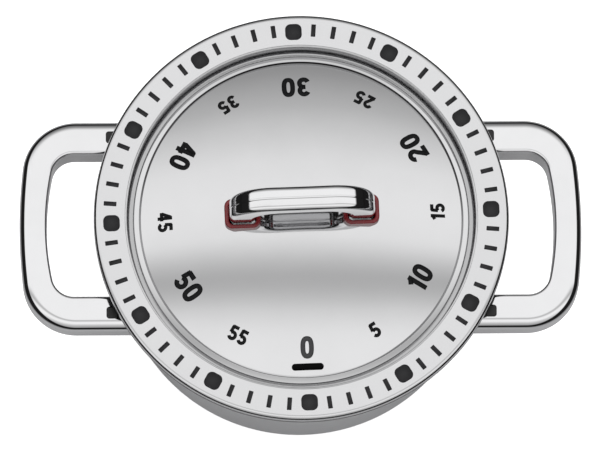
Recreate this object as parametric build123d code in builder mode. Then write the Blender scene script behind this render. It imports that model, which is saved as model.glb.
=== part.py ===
from build123d import *
import os
from math import acos, cos, degrees, pi, radians, sin, sqrt, tan

# A mechanical kitchen timer shaped like a small lidded cooking pot.  The wide
# minute ring and the domed lid turn together as the dial, and a spring-driven
# gear train with a pin-pallet escapement and a bell sits inside the pot.
# Origin: centre of the base.  +X runs along the side handles, -Y is the front.
# All lengths are millimetres and all angles are degrees.

# ---------------------------------------------------------------- overall
pot_radius = 30.8
pot_wall = 0.6
pot_bottom_radius = 3.0
dial_height = 36.5
shell_lift = 0.8
shell_flange = 6.3
dial_rest_angle = 1.9
running_gap = 0.3
seat_gap = 0.1
thread_gap = 0.02
pivot_gap = 0.05

# ---------------------------------------------------------------- dial ring and lid
ring_overhang = 4.2
ring_skirt = 2.2
ring_depth = 4.1
ring_face_sheet = 0.7
ring_wall_sheet = 0.5
ring_ledge = 6.9
ring_edge_radius = 0.35
lid_sheet = 0.6
lid_flange_gap = 1.0
lid_flange_width = 1.1
lid_crown = 3.2
lid_dome_rise = 5.46

# ---------------------------------------------------------------- lid handle and collars
grip_span = 24.4
grip_leg = 4.4
grip_width = 4.2
grip_thickness = 3.1
grip_height = 14.0
grip_foot_width = 3.3
grip_shoulder_radius = 7.0
grip_inner_flat = 3.6
grip_edge_radius = 0.9
collar_length = 6.0
collar_width = 5.1
collar_height = 1.5
collar_corner_radius = 1.3

# ---------------------------------------------------------------- side handles
handle_drop = 5.8
handle_thickness = 6.5
handle_projection = 16.8
handle_half_width = 18.1
handle_corner_radius = 9.1
handle_bow_radius = 90.0
handle_leg = 5.8
handle_bar = 4.6
handle_inner_corner = 3.8
handle_inner_bow = 46.0
handle_edge_radius = 1.1
handle_pad = 0.8
handle_pad_margin = 0.7
peg_side = 2.1
peg_rise = 0.3
peg_sink = 1.2
peg_inset = 1.1
peg_corner_radius = 0.5

# ---------------------------------------------------------------- case and base
case_wall = 0.9
deck_sheet = 1.8
deck_gap = 1.2
deck_boss = 0.8
case_top_gap = 0.3
cap_sheet = 1.6
cap_edge_gap = 0.2
post_radius = 2.4
post_inset = 2.2
post_height = 9.0
post_web = 2.0
post_web_overlap = 0.4
seat_block = 5.0
seat_margin = 0.7
foot_radius = 3.0
foot_sink = 0.6
foot_circle = 19.0
foot_chamfer = 0.4
slot_length = 9.0
slot_width = 2.0
slot_pitch = 4.0
slot_count = 5
index_width = 3.0
index_height = 2.6
index_relief = 0.2
index_drop = 4.6

# ---------------------------------------------------------------- dial carrier
carrier_sheet = 1.2
hub_radius = 4.5
hub_length = 3.8
bush_wall = 1.5
stop_width = 1.3
stop_length = 1.6
stop_height = 1.0
stop_lug_turn = 3.0
carrier_bolt_inset = 1.8

# ---------------------------------------------------------------- movement frame
plate_sheet = 1.2
plate_radius = 24.8
plate_spacing = 12.0
end_shake = 0.2
pillar_radius = 1.8
pillar_circle = 23.2
pillar_angles = (122.0, 225.0, 325.0)

# ---------------------------------------------------------------- screws
handle_screw_radius = 1.0
handle_screw_reach = 6.0
handle_screw_head = 1.8
handle_screw_head_depth = 1.2
base_screw_radius = 1.2
base_screw_head = 2.0
base_screw_head_depth = 0.6
movement_screw_radius = 0.9
movement_screw_head = 1.9
movement_screw_reach = 4.0
pillar_screw_head = 1.8
screw_head_height = 0.8
lid_screw_radius = 0.8
lid_screw_head = 1.6
lid_screw_reach = 3.0
carrier_bolt_radius = 0.8
carrier_bolt_head = 1.3
carrier_bolt_head_depth = 0.7
hub_screw_radius = 0.9
hub_screw_head = 3.0
hub_screw_head_depth = 1.4
hub_screw_reach = 3.2
bell_screw_head = 2.4
bell_screw_reach = 4.0
blind_depth = 0.5

# ---------------------------------------------------------------- gear train
coarse_module = 0.5
fine_module = 0.4
pinion_leaves = 10
main_teeth = 60
second_teeth = 50
third_teeth = 40
escape_teeth = 15
pressure_angle = 25.0
wheel_addendum = 0.75
pinion_addendum = 0.9
tooth_dedendum = 1.2
tooth_backlash = 0.09
wheel_sheet = 0.8
main_wheel_sheet = 1.0
arbor_radius = 0.8
pivot_radius = 0.5
main_arbor_radius = 2.0
main_pivot_radius = 1.2
upper_arbor_radius = 1.8
arbor_collar_radius = 3.2
arbor_collar_height = 0.6
main_window_circle = 9.6
main_window_radius = 3.0
second_window_circle = 5.8
second_window_radius = 2.2
third_window_circle = 4.6
third_window_radius = 1.7
pinion_overlap = 0.3
second_angle = 90.0
third_distance = 17.0
escape_distance = 18.0
escape_tip_radius = 4.6
escape_tooth_depth = 1.1
pallet_pivot_distance = 6.4
pallet_half_span = 42.0
pallet_pin_radius = 0.25
pallet_pin_gap = 0.08
pallet_pin_overlap = 0.2
anchor_hub_radius = 1.6
anchor_end_radius = 0.6
balance_radius = 4.2
balance_window_circle = 2.5
balance_window_radius = 1.0
spring_strip = 0.35
spring_height = 5.0
spring_inner_radius = 2.6
spring_outer_radius = 11.2
spring_turns = 5.5
spring_post_angle = 280.0
spring_post_radius = 0.8
ratchet_teeth = 20
ratchet_radius = 5.0
ratchet_tooth_depth = 0.8
ratchet_lean = 0.22
click_circle = 9.0
click_angle = 270.0
click_hub_radius = 1.5
click_tip_radius = 0.6
click_tip_lift = 0.75
click_tip_angle = 238.0
click_rivet_radius = 0.7
click_rivet_head = 1.2
click_rivet_head_height = 0.4
click_spring_foot = (10.4, 215.0)
click_spring_tip = (8.2, 244.0)
click_spring_foot_radius = 0.45
click_spring_tip_radius = 0.2
cam_radius = 6.0
cam_notch_depth = 1.2
cam_notch_width = 2.6

# ---------------------------------------------------------------- strike work
bell_radius = 19.0
bell_height = 6.8
bell_sheet = 0.8
bell_corner_radius = 4.0
bell_floor_gap = 1.0
bell_post_radius = 2.5
bell_flange_radius = 4.5
bell_flange_sheet = 1.0
tenon_radius = 0.6
tenon_offset = 3.4
lever_sheet = 1.0
strike_teeth = 8
strike_radius = 4.0
strike_tooth_depth = 1.4
strike_lean = 0.2
strike_first_tooth = 10.0
hammer_distance = 16.5
hammer_angle = 150.0
hammer_head_radius = 2.0
hammer_head_angle = 178.0
hammer_head_overlap = 4.3
hammer_rest_gap = 0.4
hammer_shoulder_radius = 1.2
hammer_shoulder_height = 1.4
hammer_hub_radius = 2.0
hammer_arm_end = 1.5
hammer_tenon_radius = 0.8
hammer_pallet_end = 0.8
hammer_pallet_gap = 0.3
leaf_radius = 0.2
leaf_gap = 0.25
leaf_rise = 1.2
leaf_low = 2.0
leaf_high = 5.0
trip_distance = 12.5
trip_angle = 200.0
trip_nose_turn = 35.0
trip_hub_radius = 1.5
trip_nose_radius = 0.6
trip_tail_radius = 0.7
trip_tail_gap = 0.4
trip_post_radius = 1.3
trip_pin_radius = 0.8
trip_pin_height = 1.4
trip_rise = 0.1

# ---------------------------------------------------------------- levels, from the dial down
ring_foot_z = dial_height - ring_depth
ledge_top_z = ring_foot_z + ring_wall_sheet
carrier_z = ring_foot_z - carrier_sheet
deck_top_z = carrier_z - deck_gap
deck_z = deck_top_z - deck_sheet
top_plate_top_z = deck_z - deck_boss
top_plate_z = top_plate_top_z - plate_sheet
bottom_plate_top_z = top_plate_z - plate_spacing
bottom_plate_z = bottom_plate_top_z - plate_sheet
shaft_low_z = bottom_plate_top_z + end_shake
shaft_high_z = top_plate_z - end_shake
cap_z = shell_lift + pot_wall
cap_top_z = cap_z + cap_sheet
bell_z = cap_top_z + bell_floor_gap
bell_rim_z = bell_z + bell_height
cam_z = bottom_plate_top_z + 0.6
low_wheel_z = bottom_plate_top_z + 1.0
spring_z = bottom_plate_top_z + 2.4
strike_z = bottom_plate_top_z + 3.3
escape_z = bottom_plate_top_z + 4.8
anchor_z = escape_z + wheel_sheet + running_gap
balance_z = bottom_plate_top_z + 7.3
ratchet_z = bottom_plate_top_z + 7.8
main_wheel_z = bottom_plate_top_z + 8.8
high_wheel_z = bottom_plate_top_z + 10.6

# ---------------------------------------------------------------- radii that follow
shell_inner = pot_radius - pot_wall
ring_radius = pot_radius + ring_overhang
ring_inner = shell_inner - running_gap - ring_wall_sheet
ledge_radius = ring_inner - ring_ledge
lid_flange_radius = ring_inner - lid_flange_gap
lid_dome_radius = lid_flange_radius - lid_flange_width
dome_radius = (lid_dome_radius**2 + lid_dome_rise**2) / (2 * lid_dome_rise)
crown_z = dial_height + lid_crown
dome_centre_z = crown_z - dome_radius
case_radius = shell_inner - seat_gap
case_inner = case_radius - case_wall
carrier_radius = case_inner - 3 * running_gap
carrier_bolt_circle = ledge_radius + carrier_bolt_inset
post_circle = pot_radius - pot_bottom_radius - post_inset
grip_x = (grip_span - grip_leg) / 2
grip_inner_radius = grip_span / 2 - grip_leg - grip_inner_flat
handle_top_z = dial_height - handle_drop
handle_mid_y = handle_half_width - handle_leg / 2
handle_reach = pot_radius + handle_projection
pad_radius = pot_radius + handle_pad
peg_x = pot_radius + peg_inset
head_corner_y = handle_mid_y + handle_screw_head + running_gap
handle_screw_seat = sqrt(case_inner**2 - head_corner_y**2)
handle_screw_z = deck_z - handle_screw_head - 2 * running_gap
handle_sides = (("left", -1), ("right", 1))


def polar(distance, angle):
    """A point at a distance and an angle from the origin."""
    return (distance * cos(radians(angle)), distance * sin(radians(angle)))


def apex_angle(side_a, side_b, opposite):
    """The angle between two sides of a triangle, in degrees."""
    return degrees(acos((side_a**2 + side_b**2 - opposite**2) / (2 * side_a * side_b)))


def heading(start, end):
    """The direction from one point to another, in degrees."""
    return Vector(end[0] - start[0], end[1] - start[1]).get_signed_angle(
        Vector(1, 0), Vector(0, 0, -1)
    )


# ---------------------------------------------------------------- arbor places
main_centre_distance = coarse_module * (main_teeth + pinion_leaves) / 2
second_centre_distance = fine_module * (second_teeth + pinion_leaves) / 2
third_centre_distance = fine_module * (third_teeth + pinion_leaves) / 2
third_angle = second_angle - apex_angle(
    main_centre_distance, third_distance, second_centre_distance
)
escape_angle = third_angle - apex_angle(
    third_distance, escape_distance, third_centre_distance
)
anchor_distance = escape_distance + 0.6
anchor_angle = escape_angle - apex_angle(
    escape_distance, anchor_distance, pallet_pivot_distance
)
centre = (0.0, 0.0)
second_at = polar(main_centre_distance, second_angle)
third_at = polar(third_distance, third_angle)
escape_at = polar(escape_distance, escape_angle)
anchor_at = polar(anchor_distance, anchor_angle)
hammer_at = polar(hammer_distance, hammer_angle)
trip_at = polar(trip_distance, trip_angle)
pillar_spots = [polar(pillar_circle, angle) for angle in pillar_angles]


def column(low, high, radius, spots=(centre,), mode=Mode.ADD):
    """Adds or cuts an upright round column at each spot of the part being built."""
    with BuildSketch(Plane.XY.offset(low)) as face:
        with Locations(*spots):
            Circle(radius)
    extrude(face.sketch, amount=high - low, mode=mode)


def plate(face, low, high, mode=Mode.ADD):
    """Adds or cuts a flat sheet with the outline of a sketch."""
    extrude(face.moved(Location((0, 0, low))), amount=high - low, mode=mode)


def outline(points):
    """A face bounded by straight runs through the points."""
    with BuildSketch() as face:
        with BuildLine():
            Polyline(*points, close=True)
        make_face()
    return face.sketch


def flank_half_angle(radius, teeth, module):
    """Half the tooth's angle at a radius of an involute gear, in radians."""
    pitch = module * teeth / 2
    base = pitch * cos(radians(pressure_angle))
    at_pitch = pi / (2 * teeth) - tooth_backlash / (2 * pitch)
    involute = tan(radians(pressure_angle)) - radians(pressure_angle)
    if radius <= base:
        return at_pitch + involute
    roll = acos(base / radius)
    return at_pitch + involute - (tan(roll) - roll)


def gear(teeth, module, addendum, first_tooth, at=centre, steps=4):
    """A spur gear's outline with its first tooth pointing at an angle."""
    pitch = module * teeth / 2
    root = pitch - tooth_dedendum * module
    tip = pitch + addendum * module
    base = max(root, pitch * cos(radians(pressure_angle)))
    radii = [base + (tip - base) * step / steps for step in range(steps + 1)]
    radii = radii if base == root else [root] + radii
    points = []
    for tooth in range(teeth):
        middle = radians(first_tooth) + 2 * pi * tooth / teeth
        flank = [(r, flank_half_angle(r, teeth, module)) for r in radii]
        sides = [(r, middle - a) for r, a in flank]
        sides += [(r, middle + a) for r, a in reversed(flank)]
        points += [(at[0] + r * cos(a), at[1] + r * sin(a)) for r, a in sides]
    return outline(points)


def saw_wheel(teeth, tip, depth, first_tooth, lean, at=centre):
    """A wheel of pointed teeth, each leaning forward by a share of its pitch."""
    pitch = 360 / teeth
    points = []
    for tooth in range(teeth):
        middle = first_tooth + pitch * tooth
        points.append((tip - depth, middle - pitch * (0.25 + lean)))
        points.append((tip, middle - 1.0))
        points.append((tip, middle + 1.0))
        points.append((tip - depth, middle + pitch * (0.25 - lean)))
    return outline([(at[0] + polar(r, a)[0], at[1] + polar(r, a)[1]) for r, a in points])


def arm(start, end, start_radius, end_radius):
    """A lever's outline: two round ends joined by a straight bar."""
    with BuildSketch() as face:
        with Locations(start):
            Circle(start_radius)
        with Locations(end):
            Circle(end_radius)
        bar = min(start_radius, end_radius)
        length = (Vector(*end) - Vector(*start)).length
        middle = ((start[0] + end[0]) / 2, (start[1] + end[1]) / 2)
        with Locations(Location((*middle, 0), (0, 0, heading(start, end)))):
            Rectangle(length, 2 * bar)
    return face.sketch


def loop_outline(reach, half_width, corner, bow, root):
    """A D-shaped loop's face: straight legs, round corners and a bowed bar."""
    bow_x = reach - bow
    corner_y = half_width - corner
    corner_x = bow_x + sqrt((bow - corner) ** 2 - corner_y**2)
    meet = degrees(acos((corner_x - bow_x) / (bow - corner)))
    with BuildSketch() as face:
        with BuildLine():
            top = Line((root, half_width), (corner_x, half_width))
            CenterArc((corner_x, corner_y), corner, 90, meet - 90)
            CenterArc((bow_x, 0), bow, meet, -2 * meet)
            CenterArc((corner_x, -corner_y), corner, -meet, meet - 90)
            low = Line((corner_x, -half_width), (root, -half_width))
            Line(low @ 1, top @ 0)
        make_face()
    return face.sketch


def finish(part, label, colour):
    """Names a piece and writes its file."""
    part.part.label = label
    part.part.color = Color(*colour)
    export_step(part.part, f"parts/{label}.step")


os.makedirs("parts", exist_ok=True)
steel = (0.72, 0.73, 0.75)
chrome = (0.85, 0.86, 0.88)
black = (0.05, 0.05, 0.06)
brass = (0.80, 0.64, 0.30)
red = (0.55, 0.10, 0.14)
blued = (0.25, 0.28, 0.36)

# ================================================================ pot shell and case
with BuildPart() as pot_shell:
    with BuildSketch(Plane.XZ) as wall:
        with BuildLine():
            flange_inner = pot_radius - shell_flange
            bend_x = pot_radius - pot_bottom_radius
            bend_z = shell_lift + pot_bottom_radius
            rim_z = dial_height - ring_face_sheet - 2 * running_gap
            Polyline((flange_inner, cap_z), (flange_inner, shell_lift), (bend_x, shell_lift))
            CenterArc((bend_x, bend_z), pot_bottom_radius, -90, 90)
            Polyline((pot_radius, bend_z), (pot_radius, rim_z), (shell_inner, rim_z),
                     (shell_inner, bend_z))
            CenterArc((bend_x, bend_z), pot_bottom_radius - pot_wall, 0, -90)
            Line((bend_x, cap_z), (flange_inner, cap_z))
        make_face()
    revolve(axis=Axis.Z)
    with Locations((0, handle_mid_y, handle_screw_z), (0, -handle_mid_y, handle_screw_z)):
        Cylinder(handle_screw_radius + seat_gap, 2 * pot_radius + 2, rotation=(0, 90, 0),
                 mode=Mode.SUBTRACT)
    with PolarLocations(post_circle, 3):
        Cylinder(base_screw_radius + seat_gap, 6 * shell_lift, mode=Mode.SUBTRACT)
finish(pot_shell, "pot_shell", steel)

with BuildPart() as inner_case:
    case_top_z = ring_foot_z - case_top_gap
    column(shell_lift + pot_bottom_radius, case_top_z, case_radius)
    column(cap_top_z, deck_z, case_inner, mode=Mode.SUBTRACT)
    column(deck_top_z, case_top_z, case_inner, mode=Mode.SUBTRACT)
    # bosses that stand the movement off the deck
    column(top_plate_top_z, deck_z, pillar_radius + deck_boss, pillar_spots)
    # posts that take the base screws, each tied to the wall by a web
    with BuildSketch(Plane.XY.offset(cap_top_z)):
        with PolarLocations(post_circle, 3):
            Circle(post_radius)
        with PolarLocations((post_circle + case_inner) / 2 + post_web_overlap, 3):
            Rectangle(case_inner - post_circle, post_web)
    extrude(amount=post_height)
    # flat seats for the side handles' screws
    for sign in (-1, 1):
        block_x = sign * (handle_screw_seat + seat_block / 2)
        with Locations((block_x, handle_mid_y, handle_screw_z),
                       (block_x, -handle_mid_y, handle_screw_z)):
            Box(seat_block, 2 * (handle_screw_head + seat_margin), 2 * handle_screw_head)
    with BuildSketch(Plane.XY.offset(cap_top_z)) as outside:
        Circle(2 * pot_radius)
        Circle(case_radius, mode=Mode.SUBTRACT)
    extrude(amount=dial_height, mode=Mode.SUBTRACT)
    # the dial's end stop on the deck
    with BuildSketch(Plane.XY.offset(deck_top_z)):
        with Locations(polar(carrier_radius - stop_length / 2, -90)):
            Rectangle(stop_width, stop_length)
    extrude(amount=stop_height)
    column(deck_z, deck_top_z, hub_radius + bush_wall, mode=Mode.SUBTRACT)
    column(top_plate_top_z, deck_top_z, movement_screw_radius + seat_gap, pillar_spots,
           Mode.SUBTRACT)
    with BuildSketch(Plane.XY.offset(cap_top_z)):
        with PolarLocations(post_circle, 3):
            Circle(base_screw_radius + thread_gap)
    extrude(amount=post_height - 2 * blind_depth, mode=Mode.SUBTRACT)
    with Locations((0, handle_mid_y, handle_screw_z), (0, -handle_mid_y, handle_screw_z)):
        Cylinder(handle_screw_radius + seat_gap, 2 * pot_radius + 2, rotation=(0, 90, 0),
                 mode=Mode.SUBTRACT)
finish(inner_case, "inner_case", black)

with BuildPart() as deck_bush:
    column(deck_z, deck_top_z, hub_radius + bush_wall)
    column(deck_z, deck_top_z, hub_radius + pivot_gap, mode=Mode.SUBTRACT)
finish(deck_bush, "deck_bush", brass)

foot_spots = [polar(foot_circle, angle) for angle in (60, 180, 300)]
with BuildPart() as base_cap:
    column(cap_z, cap_top_z, case_inner - pot_bottom_radius + case_wall)
    with BuildSketch(Plane.XY.offset(cap_z)):
        with GridLocations(0, slot_pitch, 1, slot_count):
            SlotOverall(slot_length, slot_width)
        with PolarLocations(post_circle, 3):
            Circle(base_screw_radius + seat_gap)
    extrude(amount=cap_sheet, mode=Mode.SUBTRACT)
    column(cap_z, cap_z + foot_sink, foot_radius + thread_gap, foot_spots, Mode.SUBTRACT)
finish(base_cap, "base_cap", black)

with BuildPart() as rubber_feet:
    column(0, cap_z + foot_sink, foot_radius, foot_spots)
    chamfer(rubber_feet.faces().sort_by(Axis.Z)[:3].edges(), foot_chamfer)
finish(rubber_feet, "rubber_feet", black)

with BuildPart() as base_screws:
    screw_spots = [polar(post_circle, angle) for angle in (0, 120, 240)]
    column(shell_lift - base_screw_head_depth, shell_lift, base_screw_head, screw_spots)
    column(shell_lift, cap_top_z + post_height - 4 * blind_depth, base_screw_radius,
           screw_spots)
finish(base_screws, "base_screws", steel)

with BuildPart() as index_mark:
    index_top_z = dial_height - index_drop
    with BuildSketch(Plane.XZ.offset(pot_radius - 1)):
        with BuildLine():
            Polyline((-index_width / 2, index_top_z - index_height),
                     (index_width / 2, index_top_z - index_height), (0, index_top_z), close=True)
        make_face()
    extrude(amount=3)
    with BuildSketch(Plane.XY) as band:
        Circle(pot_radius + index_relief)
        Circle(pot_radius, mode=Mode.SUBTRACT)
    extrude(amount=dial_height, mode=Mode.INTERSECT)
finish(index_mark, "index_mark", black)

# ================================================================ side handles
outer_loop = loop_outline(handle_reach, handle_half_width, handle_corner_radius,
                          handle_bow_radius, pot_radius / 2)
inner_loop = loop_outline(handle_reach - handle_bar, handle_half_width - handle_leg,
                          handle_inner_corner, handle_inner_bow, pot_radius / 3)
for side, sign in handle_sides:
    handle_low_z = handle_top_z - handle_thickness
    with BuildPart() as side_handle:
        plate(outer_loop, handle_low_z, handle_top_z)
        plate(inner_loop, handle_low_z, handle_top_z, Mode.SUBTRACT)
        long_edges = (side_handle.faces().filter_by(Axis.Z).edges()
                      .filter_by(lambda e: e.center().X > pot_radius / 2 + 0.1))
        fillet(long_edges, handle_edge_radius)
        column(handle_low_z, handle_top_z, pad_radius, mode=Mode.SUBTRACT)
        with Locations((peg_x, handle_mid_y, handle_top_z), (peg_x, -handle_mid_y, handle_top_z)):
            Box(peg_side, peg_side, 2 * peg_sink, mode=Mode.SUBTRACT)
        with Locations((pot_radius, handle_mid_y, handle_screw_z),
                       (pot_radius, -handle_mid_y, handle_screw_z)):
            Cylinder(handle_screw_radius + thread_gap, 2 * handle_screw_reach,
                     rotation=(0, 90, 0), mode=Mode.SUBTRACT)
        if sign < 0:
            mirror(about=Plane.YZ, mode=Mode.REPLACE)
    finish(side_handle, f"{side}_handle", chrome)

with BuildPart() as handle_pads:
    for sign in (-1, 1):
        with Locations(
            *[(sign * pot_radius, s * handle_mid_y, handle_screw_z) for s in (-1, 1)]
        ):
            Box(pot_radius, handle_leg - 2 * handle_pad_margin,
                handle_thickness - 2 * handle_pad_margin)
    with BuildSketch(Plane.XY) as pad_band:
        Circle(pad_radius)
        Circle(pot_radius, mode=Mode.SUBTRACT)
    extrude(amount=dial_height, mode=Mode.INTERSECT)
    with Locations((0, handle_mid_y, handle_screw_z), (0, -handle_mid_y, handle_screw_z)):
        Cylinder(handle_screw_radius + seat_gap, 2 * pot_radius + 9, rotation=(0, 90, 0),
                 mode=Mode.SUBTRACT)
finish(handle_pads, "handle_pads", black)

with BuildPart() as handle_pegs:
    with BuildSketch(Plane.XY.offset(handle_top_z - peg_sink)):
        with GridLocations(2 * peg_x, 2 * handle_mid_y, 2, 2):
            RectangleRounded(peg_side - 2 * thread_gap, peg_side - 2 * thread_gap,
                             peg_corner_radius)
    extrude(amount=peg_sink + peg_rise)
finish(handle_pegs, "handle_pegs", black)

with BuildPart() as handle_screws:
    for sign in (-1, 1):
        for y in (-handle_mid_y, handle_mid_y):
            seat = Plane(origin=(sign * handle_screw_seat, y, handle_screw_z),
                         z_dir=(-sign, 0, 0))
            with BuildSketch(seat) as head:
                Circle(handle_screw_head)
            extrude(amount=handle_screw_head_depth)
            with BuildSketch(seat) as shank:
                Circle(handle_screw_radius)
            extrude(amount=handle_screw_seat - pot_radius - handle_screw_reach + blind_depth)
finish(handle_screws, "handle_screws", steel)

# ================================================================ dial: ring, lid, handle
dial_turned = Location((0, 0, 0), (0, 0, dial_rest_angle))


def turn_dial(part):
    """Turns a dial piece to the dial's rest angle."""
    part.part = part.part.moved(dial_turned)


with BuildPart() as dial_ring:
    with BuildSketch(Plane.XZ) as ring_section:
        with BuildLine():
            skirt_z = dial_height - ring_skirt
            face_z = dial_height - ring_face_sheet
            skirt_inner = ring_radius - ring_face_sheet
            wall_outer = ring_inner + ring_wall_sheet
            Polyline((ledge_radius, ring_foot_z), (wall_outer, ring_foot_z), (wall_outer, face_z),
                     (skirt_inner, face_z), (skirt_inner, skirt_z), (ring_radius, skirt_z),
                     (ring_radius, dial_height), (ring_inner, dial_height),
                     (ring_inner, ledge_top_z), (ledge_radius, ledge_top_z), close=True)
        make_face()
    revolve(axis=Axis.Z)
    top_edge = dial_ring.edges().filter_by(GeomType.CIRCLE).filter_by(
        lambda e: abs(e.center().Z - dial_height) < 0.01)
    fillet(top_edge, ring_edge_radius)
    with BuildSketch(Plane.XY.offset(ring_foot_z)):
        with PolarLocations(carrier_bolt_circle, 4, 45):
            Circle(carrier_bolt_radius + thread_gap)
    extrude(amount=ring_wall_sheet, mode=Mode.SUBTRACT)
turn_dial(dial_ring)
finish(dial_ring, "dial_ring", steel)

with BuildPart() as lid:
    with BuildSketch(Plane.XZ) as lid_section:
        with BuildLine():
            flange_top_z = ledge_top_z + lid_sheet
            dome_edge_z = crown_z - lid_dome_rise
            inner_dome = dome_radius - lid_sheet
            inner_edge_x = lid_dome_radius - lid_sheet
            inner_edge_z = dome_centre_z + sqrt(inner_dome**2 - inner_edge_x**2)
            outer_mid = (lid_dome_radius / 2,
                         dome_centre_z + sqrt(dome_radius**2 - lid_dome_radius**2 / 4))
            inner_mid = (inner_edge_x / 2,
                         dome_centre_z + sqrt(inner_dome**2 - inner_edge_x**2 / 4))
            ThreePointArc((0, crown_z), outer_mid, (lid_dome_radius, dome_edge_z))
            Polyline((lid_dome_radius, dome_edge_z), (lid_dome_radius, flange_top_z),
                     (lid_flange_radius, flange_top_z), (lid_flange_radius, ledge_top_z),
                     (inner_edge_x, ledge_top_z), (inner_edge_x, inner_edge_z))
            ThreePointArc((inner_edge_x, inner_edge_z), inner_mid, (0, crown_z - lid_sheet))
            Line((0, crown_z - lid_sheet), (0, crown_z))
        make_face()
    revolve(axis=Axis.Z)
    column(dial_height - 5, crown_z + 5, lid_screw_radius + seat_gap,
           ((-grip_x, 0), (grip_x, 0)), Mode.SUBTRACT)
turn_dial(lid)
finish(lid, "lid", chrome)

with BuildPart() as lid_handle:
    grip_top_z = dial_height + grip_height
    grip_foot_z = crown_z - lid_dome_rise
    with BuildSketch(Plane.XZ) as arch:
        with Locations((0, grip_top_z)):
            Rectangle(grip_span, grip_top_z - grip_foot_z, align=(Align.CENTER, Align.MAX))
        fillet(arch.vertices().group_by(Axis.Y)[-1], grip_shoulder_radius)
        with BuildSketch(mode=Mode.PRIVATE) as window:
            with Locations((0, grip_top_z - grip_thickness)):
                Rectangle(grip_span - 2 * grip_leg, grip_height + lid_dome_rise,
                          align=(Align.CENTER, Align.MAX))
            fillet(window.vertices().group_by(Axis.Y)[-1], grip_inner_radius)
        add(window.sketch, mode=Mode.SUBTRACT)
    extrude(amount=grip_width / 2, both=True)
    # the legs narrow towards the collars
    with BuildSketch(Plane.YZ) as taper:
        with BuildLine():
            Polyline((-grip_foot_width / 2, grip_foot_z), (grip_foot_width / 2, grip_foot_z),
                     (grip_width / 2, grip_top_z), (-grip_width / 2, grip_top_z), close=True)
        make_face()
    extrude(amount=grip_span, both=True, mode=Mode.INTERSECT)
    grip_rims = lid_handle.edges().filter_by(
        lambda e: abs(e.center().Y) > grip_foot_width / 2 and e.center().Z > grip_foot_z + 0.1)
    fillet(grip_rims, grip_edge_radius)
    with Locations((0, 0, dome_centre_z)):
        Sphere(dome_radius, mode=Mode.SUBTRACT)
    column(dial_height, crown_z + lid_screw_reach + 2 * blind_depth, lid_screw_radius + thread_gap,
           ((-grip_x, 0), (grip_x, 0)), Mode.SUBTRACT)
turn_dial(lid_handle)
finish(lid_handle, "lid_handle", chrome)

grip_flare = (grip_width - grip_foot_width) / (grip_height + lid_dome_rise - lid_crown)
collar_top_z = dome_centre_z + sqrt(dome_radius**2 - grip_x**2) + collar_height
collar_hole_width = (grip_foot_width + grip_flare * (collar_top_z - grip_foot_z)
                     + 2 * seat_gap)
for side, sign in handle_sides:
    with BuildPart() as collar:
        with BuildSketch(Plane.XY.offset(dial_height)):
            with Locations((sign * grip_x, 0)):
                RectangleRounded(collar_length, collar_width, collar_corner_radius)
                Rectangle(grip_leg + 2 * seat_gap, collar_hole_width, mode=Mode.SUBTRACT)
        extrude(amount=collar_top_z - dial_height)
        with Locations((0, 0, dome_centre_z)):
            Sphere(dome_radius, mode=Mode.SUBTRACT)
    turn_dial(collar)
    finish(collar, f"{side}_collar", red)

with BuildPart() as lid_screws:
    spots = ((-grip_x, 0), (grip_x, 0))
    head_reach = grip_x + lid_screw_head
    head_top_z = dome_centre_z + sqrt((dome_radius - lid_sheet) ** 2 - head_reach**2)
    column(head_top_z - screw_head_height, head_top_z, lid_screw_head, spots)
    column(head_top_z, crown_z + lid_screw_reach, lid_screw_radius, spots)
turn_dial(lid_screws)
finish(lid_screws, "lid_screws", steel)

with BuildPart() as dial_carrier:
    column(carrier_z, ring_foot_z, carrier_radius)
    column(ring_foot_z - hub_length, carrier_z, hub_radius)
    # stop lug: clockwise of the deck's stop at zero, and against it after 59 minutes
    with BuildSketch(Plane.XY.offset(carrier_z - stop_height)):
        with Locations(
            Location((*polar(carrier_radius - stop_length / 2, -90 - stop_lug_turn), 0),
                     (0, 0, -stop_lug_turn))
        ):
            Rectangle(stop_width, stop_length)
    extrude(amount=stop_height)
    with BuildSketch(Plane.XY.offset(carrier_z)):
        with PolarLocations(carrier_bolt_circle, 4, 45 + dial_rest_angle):
            Circle(carrier_bolt_head + seat_gap)
    extrude(amount=carrier_bolt_head_depth, mode=Mode.SUBTRACT)
    with BuildSketch(Plane.XY.offset(carrier_z)):
        with PolarLocations(carrier_bolt_circle, 4, 45 + dial_rest_angle):
            Circle(carrier_bolt_radius + seat_gap)
    extrude(amount=carrier_sheet, mode=Mode.SUBTRACT)
    column(ring_foot_z - hub_length, ring_foot_z, upper_arbor_radius + thread_gap,
           mode=Mode.SUBTRACT)
finish(dial_carrier, "dial_carrier", black)

with BuildPart() as carrier_bolts:
    bolt_spots = [polar(carrier_bolt_circle, 45 + dial_rest_angle + 90 * n) for n in range(4)]
    column(carrier_z, carrier_z + carrier_bolt_head_depth, carrier_bolt_head, bolt_spots)
    column(carrier_z + carrier_bolt_head_depth, ledge_top_z, carrier_bolt_radius, bolt_spots)
finish(carrier_bolts, "carrier_bolts", steel)

with BuildPart() as hub_screw:
    column(ring_foot_z, ring_foot_z + hub_screw_head_depth, hub_screw_head)
    column(ring_foot_z - hub_screw_reach, ring_foot_z, hub_screw_radius)
finish(hub_screw, "hub_screw", steel)

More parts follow.
